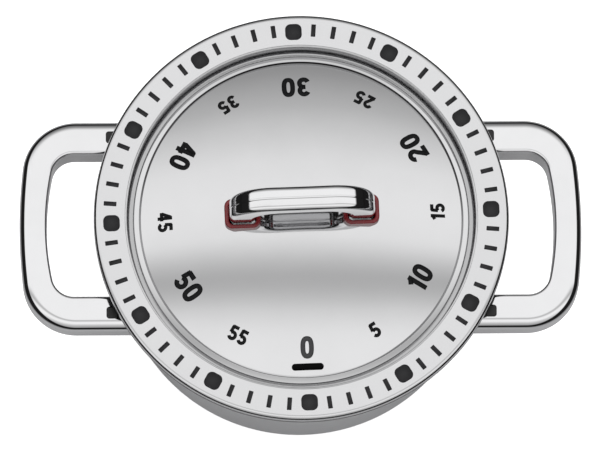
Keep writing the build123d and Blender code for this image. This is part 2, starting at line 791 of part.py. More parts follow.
# ================================================================ movement frame
train_spots = [second_at, third_at, escape_at, anchor_at]
tenon_spots = ((tenon_offset, 0), (-tenon_offset, 0))
with BuildPart() as bottom_plate:
    column(bottom_plate_z, bottom_plate_top_z, plate_radius)
    column(bottom_plate_z, bottom_plate_top_z, main_pivot_radius + pivot_gap,
           mode=Mode.SUBTRACT)
    column(bottom_plate_z, bottom_plate_top_z, pivot_radius + pivot_gap, train_spots,
           Mode.SUBTRACT)
    column(bottom_plate_z, bottom_plate_top_z, arbor_radius + pivot_gap, [hammer_at],
           Mode.SUBTRACT)
    column(bottom_plate_z, bottom_plate_top_z, movement_screw_radius + seat_gap, pillar_spots,
           Mode.SUBTRACT)
    column(bottom_plate_z, bottom_plate_top_z, tenon_radius + thread_gap, tenon_spots,
           Mode.SUBTRACT)
finish(bottom_plate, "bottom_plate", brass)

with BuildPart() as top_plate:
    column(top_plate_z, top_plate_top_z, plate_radius)
    column(top_plate_z, top_plate_top_z, upper_arbor_radius + pivot_gap, mode=Mode.SUBTRACT)
    column(top_plate_z, top_plate_top_z, pivot_radius + pivot_gap, train_spots + [hammer_at],
           Mode.SUBTRACT)
    column(top_plate_z, top_plate_top_z, movement_screw_radius + seat_gap, pillar_spots,
           Mode.SUBTRACT)
finish(top_plate, "top_plate", brass)

with BuildPart() as pillars:
    column(bottom_plate_top_z, top_plate_z, pillar_radius, pillar_spots)
    column(bottom_plate_top_z, top_plate_z, movement_screw_radius + thread_gap, pillar_spots,
           Mode.SUBTRACT)
finish(pillars, "pillars", steel)

with BuildPart() as pillar_screws:
    column(bottom_plate_z - screw_head_height, bottom_plate_z, pillar_screw_head, pillar_spots)
    column(bottom_plate_z, bottom_plate_top_z + movement_screw_reach, movement_screw_radius,
           pillar_spots)
finish(pillar_screws, "pillar_screws", steel)

with BuildPart() as movement_screws:
    column(deck_top_z, deck_top_z + screw_head_height, movement_screw_head, pillar_spots)
    column(top_plate_z - movement_screw_reach, deck_top_z, movement_screw_radius, pillar_spots)
finish(movement_screws, "movement_screws", steel)

# ================================================================ main arbor and its wheels
with BuildPart() as dial_arbor:
    column(bottom_plate_z, shaft_low_z, main_pivot_radius)
    column(shaft_low_z, shaft_high_z, main_arbor_radius)
    column(main_wheel_z + main_wheel_sheet, main_wheel_z + main_wheel_sheet + arbor_collar_height,
           arbor_collar_radius)
    column(shaft_high_z, ring_foot_z, upper_arbor_radius)
    column(ring_foot_z - hub_screw_reach - blind_depth, ring_foot_z,
           hub_screw_radius + thread_gap, mode=Mode.SUBTRACT)
finish(dial_arbor, "dial_arbor", steel)

click_pivot = polar(click_circle, click_angle)
with BuildPart() as main_wheel:
    plate(gear(main_teeth, coarse_module, wheel_addendum, second_angle), main_wheel_z,
          main_wheel_z + main_wheel_sheet)
    with BuildSketch(Plane.XY.offset(main_wheel_z)):
        Circle(main_arbor_radius + thread_gap)
        with PolarLocations(main_window_circle, 3, 30):
            Circle(main_window_radius)
        with Locations(click_pivot):
            Circle(click_rivet_radius + thread_gap)
    extrude(amount=main_wheel_sheet, mode=Mode.SUBTRACT)
finish(main_wheel, "main_wheel", brass)

with BuildPart() as ratchet_wheel:
    plate(saw_wheel(ratchet_teeth, ratchet_radius, ratchet_tooth_depth, 0, ratchet_lean),
          ratchet_z, ratchet_z + wheel_sheet)
    column(ratchet_z, ratchet_z + wheel_sheet, main_arbor_radius + thread_gap,
           mode=Mode.SUBTRACT)
finish(ratchet_wheel, "ratchet_wheel", steel)

click_tip = polar(ratchet_radius + click_tip_lift, click_tip_angle)
with BuildPart() as click:
    plate(arm(click_pivot, click_tip, click_hub_radius, click_tip_radius), ratchet_z,
          ratchet_z + wheel_sheet)
    column(ratchet_z, ratchet_z + wheel_sheet, click_rivet_radius + thread_gap, [click_pivot],
           Mode.SUBTRACT)
finish(click, "click", steel)

with BuildPart() as click_rivet:
    rivet_head_z = main_wheel_z + main_wheel_sheet
    column(ratchet_z, rivet_head_z, click_rivet_radius, [click_pivot])
    column(rivet_head_z, rivet_head_z + click_rivet_head_height, click_rivet_head,
           [click_pivot])
finish(click_rivet, "click_rivet", steel)

with BuildPart() as click_spring:
    spring_start = polar(*click_spring_foot)
    plate(arm(spring_start, polar(*click_spring_tip), click_spring_foot_radius,
              click_spring_tip_radius), ratchet_z, ratchet_z + wheel_sheet)
    column(ratchet_z, main_wheel_z, click_spring_foot_radius, [spring_start])
finish(click_spring, "click_spring", blued)

nose_angle = trip_angle + trip_nose_turn
with BuildPart() as zero_cam:
    with BuildSketch(Plane.XY.offset(cam_z)):
        Circle(cam_radius)
        with Locations(Location((*polar(cam_radius, nose_angle), 0), (0, 0, nose_angle))):
            Rectangle(2 * cam_notch_depth, cam_notch_width, mode=Mode.SUBTRACT)
        Circle(main_arbor_radius + thread_gap, mode=Mode.SUBTRACT)
    extrude(amount=lever_sheet)
finish(zero_cam, "zero_cam", steel)


def spiral(offset, points_per_turn=12):
    """Points on an even spiral, shifted outward by an offset."""
    count = int(points_per_turn * spring_turns)
    growth = (spring_outer_radius - spring_inner_radius) / count
    start = spring_post_angle - 360 * spring_turns
    return [
        polar(spring_inner_radius + growth * n + offset, start + 360 * n / points_per_turn)
        for n in range(count + 1)
    ]


with BuildPart() as mainspring:
    inner_edge, outer_edge = spiral(0), spiral(spring_strip)
    with BuildSketch(Plane.XY.offset(spring_z)):
        with BuildLine():
            Spline(*inner_edge)
            Line(inner_edge[-1], outer_edge[-1])
            Spline(*reversed(outer_edge))
            Line(outer_edge[0], inner_edge[0])
        make_face()
    extrude(amount=spring_height)
finish(mainspring, "mainspring", blued)

with BuildPart() as spring_post:
    post_at = polar(spring_outer_radius + spring_strip + spring_post_radius + thread_gap,
                    spring_post_angle)
    column(bottom_plate_top_z, spring_z + spring_height + running_gap + seat_gap,
           spring_post_radius, [post_at])
finish(spring_post, "spring_post", steel)

# ================================================================ going train


def pinion_phase(wheel_at, pinion_at):
    """The pinion's first tooth angle that meshes with a wheel tooth on the centre line."""
    return heading(wheel_at, pinion_at) + 180 + 180 / pinion_leaves


def pinion(module, wheel_at, at, low, high):
    """Adds a pinion that meshes with the wheel before it in the train."""
    face = gear(pinion_leaves, module, pinion_addendum, pinion_phase(wheel_at, at), at)
    plate(face, low, high)


def shaft(at):
    """Adds a train arbor with its two pivots between the plates."""
    column(bottom_plate_z, shaft_low_z, pivot_radius, [at])
    column(shaft_low_z, shaft_high_z, arbor_radius, [at])
    column(shaft_high_z, top_plate_top_z, pivot_radius, [at])


with BuildPart() as second_arbor:
    shaft(second_at)
    pinion(coarse_module, centre, second_at, main_wheel_z - pinion_overlap,
           main_wheel_z + main_wheel_sheet + pinion_overlap)
finish(second_arbor, "second_arbor", steel)

with BuildPart() as second_wheel:
    plate(gear(second_teeth, fine_module, wheel_addendum, heading(second_at, third_at),
               second_at), high_wheel_z, high_wheel_z + wheel_sheet)
    column(high_wheel_z, high_wheel_z + wheel_sheet, arbor_radius + thread_gap, [second_at],
           Mode.SUBTRACT)
    with BuildSketch(Plane.XY.offset(high_wheel_z)):
        with Locations(second_at):
            with PolarLocations(second_window_circle, 5):
                Circle(second_window_radius)
    extrude(amount=wheel_sheet, mode=Mode.SUBTRACT)
finish(second_wheel, "second_wheel", brass)

with BuildPart() as strike_wheel:
    plate(saw_wheel(strike_teeth, strike_radius, strike_tooth_depth, strike_first_tooth,
                    strike_lean, second_at), strike_z, strike_z + lever_sheet)
    column(strike_z, strike_z + lever_sheet, arbor_radius + thread_gap, [second_at],
           Mode.SUBTRACT)
finish(strike_wheel, "strike_wheel", steel)

with BuildPart() as third_arbor:
    shaft(third_at)
    pinion(fine_module, second_at, third_at, high_wheel_z - pinion_overlap,
           high_wheel_z + wheel_sheet + pinion_overlap)
finish(third_arbor, "third_arbor", steel)

with BuildPart() as third_wheel:
    plate(gear(third_teeth, fine_module, wheel_addendum, heading(third_at, escape_at),
               third_at), low_wheel_z, low_wheel_z + wheel_sheet)
    column(low_wheel_z, low_wheel_z + wheel_sheet, arbor_radius + thread_gap, [third_at],
           Mode.SUBTRACT)
    with BuildSketch(Plane.XY.offset(low_wheel_z)):
        with Locations(third_at):
            with PolarLocations(third_window_circle, 5):
                Circle(third_window_radius)
    extrude(amount=wheel_sheet, mode=Mode.SUBTRACT)
finish(third_wheel, "third_wheel", brass)

with BuildPart() as escape_arbor:
    shaft(escape_at)
    pinion(fine_module, third_at, escape_at, low_wheel_z - pinion_overlap,
           low_wheel_z + wheel_sheet + pinion_overlap)
finish(escape_arbor, "escape_arbor", steel)

# the pallet pins straddle three and a half teeth, each a quarter pitch from a tooth
anchor_heading = heading(escape_at, anchor_at)
escape_pitch = 360 / escape_teeth
with BuildPart() as escape_wheel:
    first = anchor_heading + pallet_half_span + escape_pitch / 4
    plate(saw_wheel(escape_teeth, escape_tip_radius, escape_tooth_depth, first, 0.0, escape_at),
          escape_z, escape_z + wheel_sheet)
    column(escape_z, escape_z + wheel_sheet, arbor_radius + thread_gap, [escape_at],
           Mode.SUBTRACT)
finish(escape_wheel, "escape_wheel", brass)

# ================================================================ anchor and balance
pin_orbit = escape_tip_radius + pallet_pin_radius + pallet_pin_gap
pin_spots = []
for sign in (-1, 1):
    offset = polar(pin_orbit, anchor_heading + sign * pallet_half_span)
    pin_spots.append((escape_at[0] + offset[0], escape_at[1] + offset[1]))

with BuildPart() as anchor_arbor:
    shaft(anchor_at)
finish(anchor_arbor, "anchor_arbor", steel)

with BuildPart() as anchor:
    for spot in pin_spots:
        plate(arm(anchor_at, spot, anchor_hub_radius, anchor_end_radius), anchor_z,
              anchor_z + wheel_sheet)
    column(anchor_z, anchor_z + wheel_sheet, arbor_radius + thread_gap, [anchor_at],
           Mode.SUBTRACT)
    column(anchor_z, anchor_z + wheel_sheet, pallet_pin_radius + thread_gap, pin_spots,
           Mode.SUBTRACT)
finish(anchor, "anchor", brass)

with BuildPart() as pallet_pins:
    column(escape_z - pallet_pin_overlap, anchor_z + wheel_sheet, pallet_pin_radius, pin_spots)
finish(pallet_pins, "pallet_pins", steel)

with BuildPart() as balance:
    with BuildSketch(Plane.XY.offset(balance_z)):
        with Locations(anchor_at):
            Circle(balance_radius)
            Circle(arbor_radius + thread_gap, mode=Mode.SUBTRACT)
            with PolarLocations(balance_window_circle, 3):
                Circle(balance_window_radius, mode=Mode.SUBTRACT)
    extrude(amount=wheel_sheet)
finish(balance, "balance", brass)

# ================================================================ bell, hammer, trip lever
with BuildPart() as bell:
    with BuildSketch(Plane.XZ) as bell_section:
        with BuildLine():
            bend = (bell_radius - bell_corner_radius, bell_z + bell_corner_radius)
            Polyline((0, bell_z + bell_sheet), (0, bell_z), (bend[0], bell_z))
            CenterArc(bend, bell_corner_radius, -90, 90)
            Polyline((bell_radius, bend[1]), (bell_radius, bell_rim_z),
                     (bell_radius - bell_sheet, bell_rim_z), (bell_radius - bell_sheet, bend[1]))
            CenterArc(bend, bell_corner_radius - bell_sheet, 0, -90)
            Line((bend[0], bell_z + bell_sheet), (0, bell_z + bell_sheet))
        make_face()
    revolve(axis=Axis.Z)
    column(bell_z, bell_z + bell_sheet, base_screw_radius + seat_gap, mode=Mode.SUBTRACT)
finish(bell, "bell", chrome)

with BuildPart() as bell_post:
    column(bell_z + bell_sheet, bottom_plate_z, bell_post_radius)
    column(bottom_plate_z - bell_flange_sheet, bottom_plate_z, bell_flange_radius)
    column(bottom_plate_z, bottom_plate_top_z, tenon_radius, tenon_spots)
    column(bottom_plate_z - bell_flange_sheet, bottom_plate_z, main_pivot_radius + blind_depth,
           mode=Mode.SUBTRACT)
    column(bell_z + bell_sheet, bell_z + bell_screw_reach + blind_depth,
           base_screw_radius + thread_gap, mode=Mode.SUBTRACT)
finish(bell_post, "bell_post", steel)

with BuildPart() as bell_screw:
    column(bell_z - screw_head_height, bell_z, bell_screw_head)
    column(bell_z, bell_z + bell_screw_reach, base_screw_radius)
finish(bell_screw, "bell_screw", steel)

arm_z = bottom_plate_z - lever_sheet - 2 * running_gap
shoulder_z = strike_z + hammer_shoulder_height
head_distance = bell_radius + hammer_rest_gap + hammer_head_radius
head_at = polar(head_distance, hammer_head_angle)
with BuildPart() as hammer_arbor:
    column(arm_z - running_gap, shaft_low_z, arbor_radius, [hammer_at])
    column(shaft_low_z, shoulder_z, hammer_shoulder_radius, [hammer_at])
    column(shoulder_z, shaft_high_z, arbor_radius, [hammer_at])
    column(shaft_high_z, top_plate_top_z, pivot_radius, [hammer_at])
finish(hammer_arbor, "hammer_arbor", steel)

with BuildPart() as hammer_arm:
    plate(arm(hammer_at, head_at, hammer_hub_radius, hammer_arm_end), arm_z,
          arm_z + lever_sheet)
    column(arm_z, arm_z + lever_sheet, arbor_radius + thread_gap, [hammer_at], Mode.SUBTRACT)
    column(arm_z, arm_z + lever_sheet, hammer_tenon_radius + thread_gap, [head_at],
           Mode.SUBTRACT)
finish(hammer_arm, "hammer_arm", steel)

with BuildPart() as hammer_head:
    column(bell_rim_z - hammer_head_overlap, arm_z, hammer_head_radius, [head_at])
    column(arm_z, arm_z + lever_sheet, hammer_tenon_radius, [head_at])
finish(hammer_head, "hammer_head", steel)

pallet_back = heading(hammer_at, second_at)
pallet_length = ((Vector(*second_at) - Vector(*hammer_at)).length - strike_radius
                 - hammer_pallet_end - hammer_pallet_gap)
pallet_end = (hammer_at[0] + polar(pallet_length, pallet_back)[0],
              hammer_at[1] + polar(pallet_length, pallet_back)[1])
with BuildPart() as hammer_pallet:
    plate(arm(hammer_at, pallet_end, hammer_hub_radius, hammer_pallet_end), strike_z,
          strike_z + lever_sheet)
    column(strike_z, strike_z + lever_sheet, hammer_shoulder_radius + thread_gap, [hammer_at],
           Mode.SUBTRACT)
finish(hammer_pallet, "hammer_pallet", steel)

with BuildPart() as hammer_spring:
    leaf_start = (pillar_spots[0][0] - pillar_radius - leaf_radius, pillar_spots[0][1])
    leaf_end = (hammer_at[0] - hammer_shoulder_radius - leaf_radius - leaf_gap,
                hammer_at[1] + leaf_rise)
    plate(arm(leaf_start, leaf_end, leaf_radius, leaf_radius), strike_z + leaf_low,
          strike_z + leaf_high)
finish(hammer_spring, "hammer_spring", blued)

lever_z = cam_z
nose_tip = polar(cam_radius + running_gap + trip_nose_radius, nose_angle)
tail_length = ((Vector(*hammer_at) - Vector(*trip_at)).length - hammer_shoulder_radius
               - trip_tail_gap - trip_tail_radius)
tail_at = (trip_at[0] + polar(tail_length, heading(trip_at, hammer_at))[0],
           trip_at[1] + polar(tail_length, heading(trip_at, hammer_at))[1])
with BuildPart() as trip_post:
    column(bottom_plate_top_z, lever_z, trip_post_radius, [trip_at])
    column(lever_z, lever_z + trip_pin_height, trip_pin_radius, [trip_at])
finish(trip_post, "trip_post", steel)

with BuildPart() as trip_lever:
    lever_low_z = lever_z + trip_rise
    lever_high_z = lever_low_z + lever_sheet
    plate(arm(trip_at, nose_tip, trip_hub_radius, trip_nose_radius), lever_low_z, lever_high_z)
    plate(arm(trip_at, tail_at, trip_hub_radius, trip_tail_radius), lever_low_z, lever_high_z)
    column(lever_low_z, lever_high_z, trip_pin_radius + pivot_gap, [trip_at], Mode.SUBTRACT)
finish(trip_lever, "trip_lever", steel)
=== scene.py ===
"""A mechanical kitchen timer shaped like a small lidded pot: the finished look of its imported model."""

import math

import bpy
import numpy as np
from mathutils import Matrix, Vector


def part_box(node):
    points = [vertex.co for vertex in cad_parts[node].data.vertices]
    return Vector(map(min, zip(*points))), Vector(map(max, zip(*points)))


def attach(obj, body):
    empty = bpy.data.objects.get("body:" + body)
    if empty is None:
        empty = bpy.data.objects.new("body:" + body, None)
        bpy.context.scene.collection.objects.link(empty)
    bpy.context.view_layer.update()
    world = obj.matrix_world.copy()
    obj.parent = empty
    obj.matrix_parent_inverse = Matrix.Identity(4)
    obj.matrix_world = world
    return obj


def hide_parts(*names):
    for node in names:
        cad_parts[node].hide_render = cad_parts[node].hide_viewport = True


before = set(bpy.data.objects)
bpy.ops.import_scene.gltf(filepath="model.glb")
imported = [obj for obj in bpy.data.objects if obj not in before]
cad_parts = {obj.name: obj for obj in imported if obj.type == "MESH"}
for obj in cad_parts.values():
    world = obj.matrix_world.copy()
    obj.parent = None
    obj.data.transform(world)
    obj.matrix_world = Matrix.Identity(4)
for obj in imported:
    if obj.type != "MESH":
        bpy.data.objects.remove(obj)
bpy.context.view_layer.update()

bl_info = {
    "name": "Pot Kitchen Timer",
    "version": (1, 0, 0),
    "blender": (4, 5, 0),
    "location": "3D View > Sidebar > Timer",
    "description": "Builds the shells, dial, grips, print and finishes of a pot-shaped kitchen timer",
    "category": "Object",
}

MM = 0.001
# How far the print reaches into the metal under it.
PRINT_ROOT = 0.03 * MM
# The corners of a rectangle, against the clock from the right front one.
CORNERS = ((1, -1), (1, 1), (-1, 1), (-1, -1))


def half_across(node):
    """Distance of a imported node's outermost point from the middle along X."""
    return float(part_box(node)[1][0])


def foot(node):
    """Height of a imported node's lowest point."""
    return float(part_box(node)[0][2])


def top(node):
    """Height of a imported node's highest point."""
    return float(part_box(node)[1][2])


# ------------------------------------------------------------------ sizes and colours


def length(name, description, default):
    """A size in metres that shows as a length."""
    return bpy.props.FloatProperty(
        name=name, description=description, default=default, unit="LENGTH", precision=5
    )


def angle(name, description, degrees):
    """An angle that shows in degrees."""
    return bpy.props.FloatProperty(
        name=name, description=description, default=math.radians(degrees), unit="ROTATION"
    )


def number(name, description, default):
    """A plain number, such as a roughness or a strength."""
    return bpy.props.FloatProperty(name=name, description=description, default=default)


def colour(name, description, red, green, blue):
    """A colour given as display values from 0 to 255, kept as linear light."""
    shown = np.array([red, green, blue]) / 255
    linear = np.where(shown <= 0.04045, shown / 12.92, ((shown + 0.055) / 1.055) ** 2.4)
    return bpy.props.FloatVectorProperty(
        name=name, description=description, default=tuple(linear), size=3,
        subtype="COLOR", min=0.0, max=1.0
    )


class PotSizes(bpy.types.PropertyGroup):
    """Sizes of the pot's shell and of the dial ring above it."""

    shell_radius: length("Shell radius", "Outside of the pot wall", half_across("pot_shell"))
    shell_low: length("Shell low", "Height of the shell's underside", foot("pot_shell"))
    shell_high: length("Shell high", "Height of the shell's rim", top("pot_shell"))
    shell_wall: length("Shell wall", "Thickness of the sheet", 0.6 * MM)
    shell_bend: length("Shell bend", "Radius where the wall turns under", 2.0 * MM)
    shell_flange: length("Shell flange", "Radius where the turned-in flange ends", 24.5 * MM)
    ring_radius: length("Ring radius", "Outside of the minute ring", half_across("dial_ring"))
    ring_inner: length("Ring opening", "Inside of the minute ring", 29.4 * MM)
    ring_top: length("Ring top", "Height of the ring's face", top("dial_ring"))
    ring_foot: length("Ring foot", "Height of the ring's underside", foot("dial_ring"))
    ring_ledge: length("Ring ledge", "Radius where the lid's ledge ends", 22.5 * MM)
    ring_skirt: length("Ring skirt", "Depth of the ring's outer edge", 2.2 * MM)
    ring_sheet: length("Ring sheet", "Thickness of the face and skirt", 0.7 * MM)
    ring_edge: length("Ring edge", "Rounding of the ring's outer edge", 0.85 * MM)
    ring_lip: length("Ring lip", "Width of the small step round the opening", 0.3 * MM)
    ring_lip_drop: length("Ring lip drop", "Depth of the step's inner edge", 0.22 * MM)
    ring_lip_rise: length("Ring lip rise", "Depth of the step's outer edge", 0.16 * MM)
    ring_bore: length("Ring bore", "Thickness of the bore and of the ledge", 0.5 * MM)
    # Painted shade: below this share the ring's outer edge is painted black.
    ring_dark: number("Painted shade foot", "Share of the outer edge above its black foot", 0.65)


class LidSizes(bpy.types.PropertyGroup):
    """Sizes of the domed lid, its grip and its two collars."""

    turn: angle("Dial turn", "Angle that the whole dial stands at", 1.9)
    flange_radius: length("Flange radius", "Outside of the lid's flange", 28.4 * MM)
    flange_low: length("Flange low", "Height of the flange's underside", foot("lid"))
    step_radius: length("Step", "Radius where the dome steps down to its brim", 27.05 * MM)
    step_width: length("Step width", "Width of the step", 0.34 * MM)
    step_bend: length("Step bend", "Rounding where the dome meets the step", 0.25 * MM)
    step_foot: length("Step foot", "Rounding where the step meets the brim", 0.12 * MM)
    step_slope: angle("Step slope", "Slope of the step", 30.0)
    brim_slope: angle("Brim slope", "Slope of the brim outside the step", 10.0)
    dome_edge: length("Dome edge", "Radius where the dome ends", 27.3 * MM)
    dome_roll: length("Dome roll", "Rounding of the brim's edge", 0.3 * MM)
    crown: length("Crown", "Height of the dome's crown", 39.7 * MM)
    dome_radius: length("Dome radius", "Radius of the sphere that the dome is cut from", 70.98 * MM)
    sheet: length("Lid sheet", "Thickness of the lid", 0.6 * MM)
    grip_span: length("Grip span", "Length of the lid's grip", 24.4 * MM)
    grip_leg: length("Grip leg", "Width of a grip leg", 4.4 * MM)
    grip_top: length("Grip top", "Height of the grip", top("lid_handle"))
    grip_strap: length("Grip strap", "Thickness of the grip's strap", 3.1 * MM)
    grip_shoulder: length("Grip shoulder", "Outer radius of the grip's bends", 7.0 * MM)
    grip_window: length("Grip window", "Inner radius of the grip's bends", 4.2 * MM)
    grip_width: length("Grip width", "Width of the grip at its top", 4.2 * MM)
    grip_foot: length("Grip foot", "Width of the grip at its feet", 3.3 * MM)
    grip_edge: length("Grip edge", "Rounding of the grip's edges", 0.9 * MM)
    grip_base: length("Grip base", "Height of the feet before they meet the dome", 1.3 * MM)
    grip_seam: length("Grip seam", "Depth of the seam along the grip", 0.06 * MM)
    seam_width: length("Seam width", "Width of the seam along the grip", 0.11 * MM)
    collar_length: length("Collar length", "Length of a collar", 6.0 * MM)
    collar_width: length("Collar width", "Width of a collar", 5.1 * MM)
    collar_corner: length("Collar corner", "Corner radius of a collar", 1.3 * MM)
    collar_gap: length("Collar gap", "Play between a collar and its leg", 0.1 * MM)
    collar_wall: length("Collar wall", "Thickness of a collar at its long sides", 0.68 * MM)
    collar_fillet: length("Collar fillet", "How much tighter a collar's hole is bent", 0.6 * MM)
    collar_top: length("Collar top", "Height of a collar's rim", top("right_collar"))
    collar_round: length("Collar rounding", "Rounding of a collar's rim", 0.28 * MM)


class SideHandleSizes(bpy.types.PropertyGroup):
    """Sizes of the two loop handles and of the pegs in their roots."""

    reach: length("Reach", "Distance from the axis to the end of a handle", 47.6 * MM)
    half_width: length("Half width", "Half the width of a handle", 18.1 * MM)
    corner: length("Corner", "Radius of a handle's outer corners", 9.1 * MM)
    bow: length("Bow", "Radius of a handle's outer bow", 90.0 * MM)
    leg: length("Leg", "Width of a handle's leg", 5.8 * MM)
    bar: length("Bar", "Width of a handle's bar", 4.6 * MM)
    window_corner: length("Window corner", "Radius of the finger hole's corners", 3.8 * MM)
    window_bow: length("Window bow", "Radius of the finger hole's outer side", 46.0 * MM)
    low: length("Low face", "Height of a handle's underside", foot("right_handle"))
    high: length("High face", "Height of a handle's top", top("right_handle"))
    edge: length("Edge", "Rounding of a handle's outer edges", 1.8 * MM)
    window_edge: length("Window edge", "Rounding of the finger hole's edges", 0.6 * MM)
    root_radius: length("Root radius", "Distance from the axis to a handle's ends", 31.6 * MM)
    pad_start: length("Pad start", "Where a handle's outline is drawn from", 22.0 * MM)
    leg_end: length("Leg end", "Where a handle's leg stops following the pot", 37.0 * MM)
    peg_side: length("Peg side", "Side of a square peg", 2.06 * MM)
    peg_corner: length("Peg corner", "Corner radius of a peg", 0.5 * MM)
    peg_root: length("Peg root", "Depth of a peg below the handle's top", 0.3 * MM)
    peg_edge: length("Peg edge", "Rounding of a peg's upper edge", 0.28 * MM)
    peg_top: length("Peg top", "Height of a peg", top("handle_pegs"))
    peg_x: length("Peg across", "Peg's distance from the middle along the handles", 31.9 * MM)
    peg_y: length("Peg along", "Peg's distance from the middle across the handles", 15.2 * MM)


class PrintSizes(bpy.types.PropertyGroup):
    """Sizes of the printed marks and numbers."""

    bar_width: length("Bar width", "Width of a minute bar", 0.78 * MM)
    bar_length: length("Bar length", "Length of a minute bar", 2.16 * MM)
    bar_corner: length("Bar corner", "Corner radius of a minute bar", 0.08 * MM)
    bar_radius: length("Bar place", "Distance of the minute bars from the axis", 32.3 * MM)
    square_side: length("Square side", "Side of a five-minute mark", 2.8 * MM)
    square_corner: length("Square corner", "Corner radius of a five-minute mark", 0.95 * MM)
    square_radius: length("Square place", "Distance of the five-minute marks", 32.0 * MM)
    large_height: length("Large digits", "Height of the tens' digits", 3.5 * MM)
    small_height: length("Small digits", "Height of the fives' digits", 2.45 * MM)
    large_radius: length("Large place", "Distance of the tens from the axis", 22.5 * MM)
    small_radius: length("Small place", "Distance of the fives from the axis", 23.0 * MM)
    stroke: number("Stroke", "Width of a digit's stroke as a share of its height", 0.235)
    zero_bar_length: length("Zero bar length", "Length of the bar under the zero", 5.4 * MM)
    zero_bar_width: length("Zero bar width", "Width of the bar under the zero", 1.1 * MM)
    zero_bar_radius: length("Zero bar place", "Distance of the zero bar", 25.6 * MM)
    digit_gap: number("Digit gap", "Gap between two digits as a share of their height", 0.1)
    point_step: length("Point step", "Longest way between two points of a stroke", 0.16 * MM)
    film: length("Print film", "Height of the print above the metal", 0.012 * MM)


class Finishes(bpy.types.PropertyGroup):
    """Colours and roughnesses of the timer's finishes."""

    chrome: colour("Chrome", "Plated handles and grip", 222, 222, 223)
    lid_steel: colour("Lid steel", "Polished lid", 211, 211, 212)
    ring_steel: colour("Ring steel", "Satin minute ring", 209, 209, 210)
    shell_steel: colour("Shell steel", "Brushed pot wall", 222, 222, 223)
    screw_steel: colour("Screw steel", "Screws and pillars", 176, 174, 170)
    turned_steel: colour("Turned steel", "Arbors and levers", 188, 187, 184)
    blued_steel: colour("Blued steel", "Springs", 62, 72, 104)
    bell_steel: colour("Bell steel", "Plated bell", 214, 212, 205)
    brass: colour("Brass", "Plates and wheels", 214, 178, 102)
    black_plastic: colour("Black plastic", "Case, cap and carrier", 24, 24, 25)
    rubber: colour("Rubber", "Feet and pads", 30, 30, 30)
    red_collar: colour("Red collar", "Collars of the grip", 92, 2, 10)
    dark_print: colour("Dark print", "Marks and numbers", 41, 41, 42)
    number_print: colour("Number print", "Numbers on the lid", 20, 20, 21)
    zero_print: colour("Zero print", "The zero", 56, 56, 57)
    black_print: colour("Black print", "Bar at the zero", 2, 2, 2)
    chrome_roughness: number("Chrome roughness", "Roughness of the plating", 0.045)
    lid_roughness: number("Lid roughness", "Roughness of the lid", 0.05)
    ring_roughness: number("Ring roughness", "Roughness of the ring", 0.15)
    # Painted reflection: the lid's step is darkened to this share at the back and fades towards the front,
    # in place of the dark reflection there.
    step_shade: number("Step shade", "Brightness of the lid's step at the back", 0.05)
    step_lean: number("Step lean", "How fast the step's shade fades towards the front", 1.8)
    # Painted shade: the ring's bore is darkened to this share, as shade in the recess.
    bore_shade: number("Bore shade", "Brightness of the ring's bore", 0.7)
    shell_roughness: number("Shell roughness", "Roughness of the pot wall", 0.36)


class StudioSettings(bpy.types.PropertyGroup):
    """The camera, lamps and floor."""

    azimuth: angle("Azimuth", "Camera's angle round the timer", -5.15)
    elevation: angle("Elevation", "Camera's angle above the floor", 77.13)
    roll: angle("Roll", "Camera's turn about its own line of sight", 4.73)
    distance: length("Distance", "Distance from the camera to its target", 1326.9 * MM)
    target_height: length("Target height", "Height of the point looked at", 29.4 * MM)
    target_aside: length("Target aside", "Place of the point looked at along X", -0.12 * MM)
    lens: bpy.props.FloatProperty(
        name="Lens", description="Focal length in millimetres", default=470.3, unit="CAMERA"
    )
    floor: colour("Floor", "Pale floor", 250, 250, 250)
    floor_near: length("Lit floor", "Radius where the floor starts to darken in the metal", 0.07)
    floor_far: length("Dark floor", "Radius where the floor is dark in the metal", 0.12)
    floor_glow: number("Floor glow", "Light that lifts the floor to white", 0.5)
    floor_mirrored: colour("Mirrored floor", "Floor as the metal reflects it", 168, 168, 169)
    sky: number("Sky strength", "Strength of the soft surroundings", 1.34)
    lamp: number("Lamp power", "Power of the overhead lamp in watts", 14.0)


class TimerSettings(bpy.types.PropertyGroup):
    """Everything that can be changed on the timer."""

    pot: bpy.props.PointerProperty(type=PotSizes, name="Pot", description="Shell and ring")
    lid: bpy.props.PointerProperty(type=LidSizes, name="Lid", description="Lid and grip")
    side: bpy.props.PointerProperty(type=SideHandleSizes, name="Side handles",
                                    description="Loop handles and pegs")
    print: bpy.props.PointerProperty(type=PrintSizes, name="Print", description="Marks")
    finish: bpy.props.PointerProperty(type=Finishes, name="Finishes", description="Colours")
    studio: bpy.props.PointerProperty(type=StudioSettings, name="Studio", description="Stage")


# ------------------------------------------------------------------ surfaces


def unit(vectors):
    """Vectors scaled to length one along the last axis."""
    return vectors / np.linalg.norm(vectors, axis=-1, keepdims=True)


def arc(centre, radius, start, end, steps):
    """Points on an arc: centre + radius (cos a, sin a), with a even from start to end degrees."""
    a = np.radians(np.linspace(start, end, steps + 1))
    return np.array(centre) + radius * np.stack([np.cos(a), np.sin(a)], axis=-1)


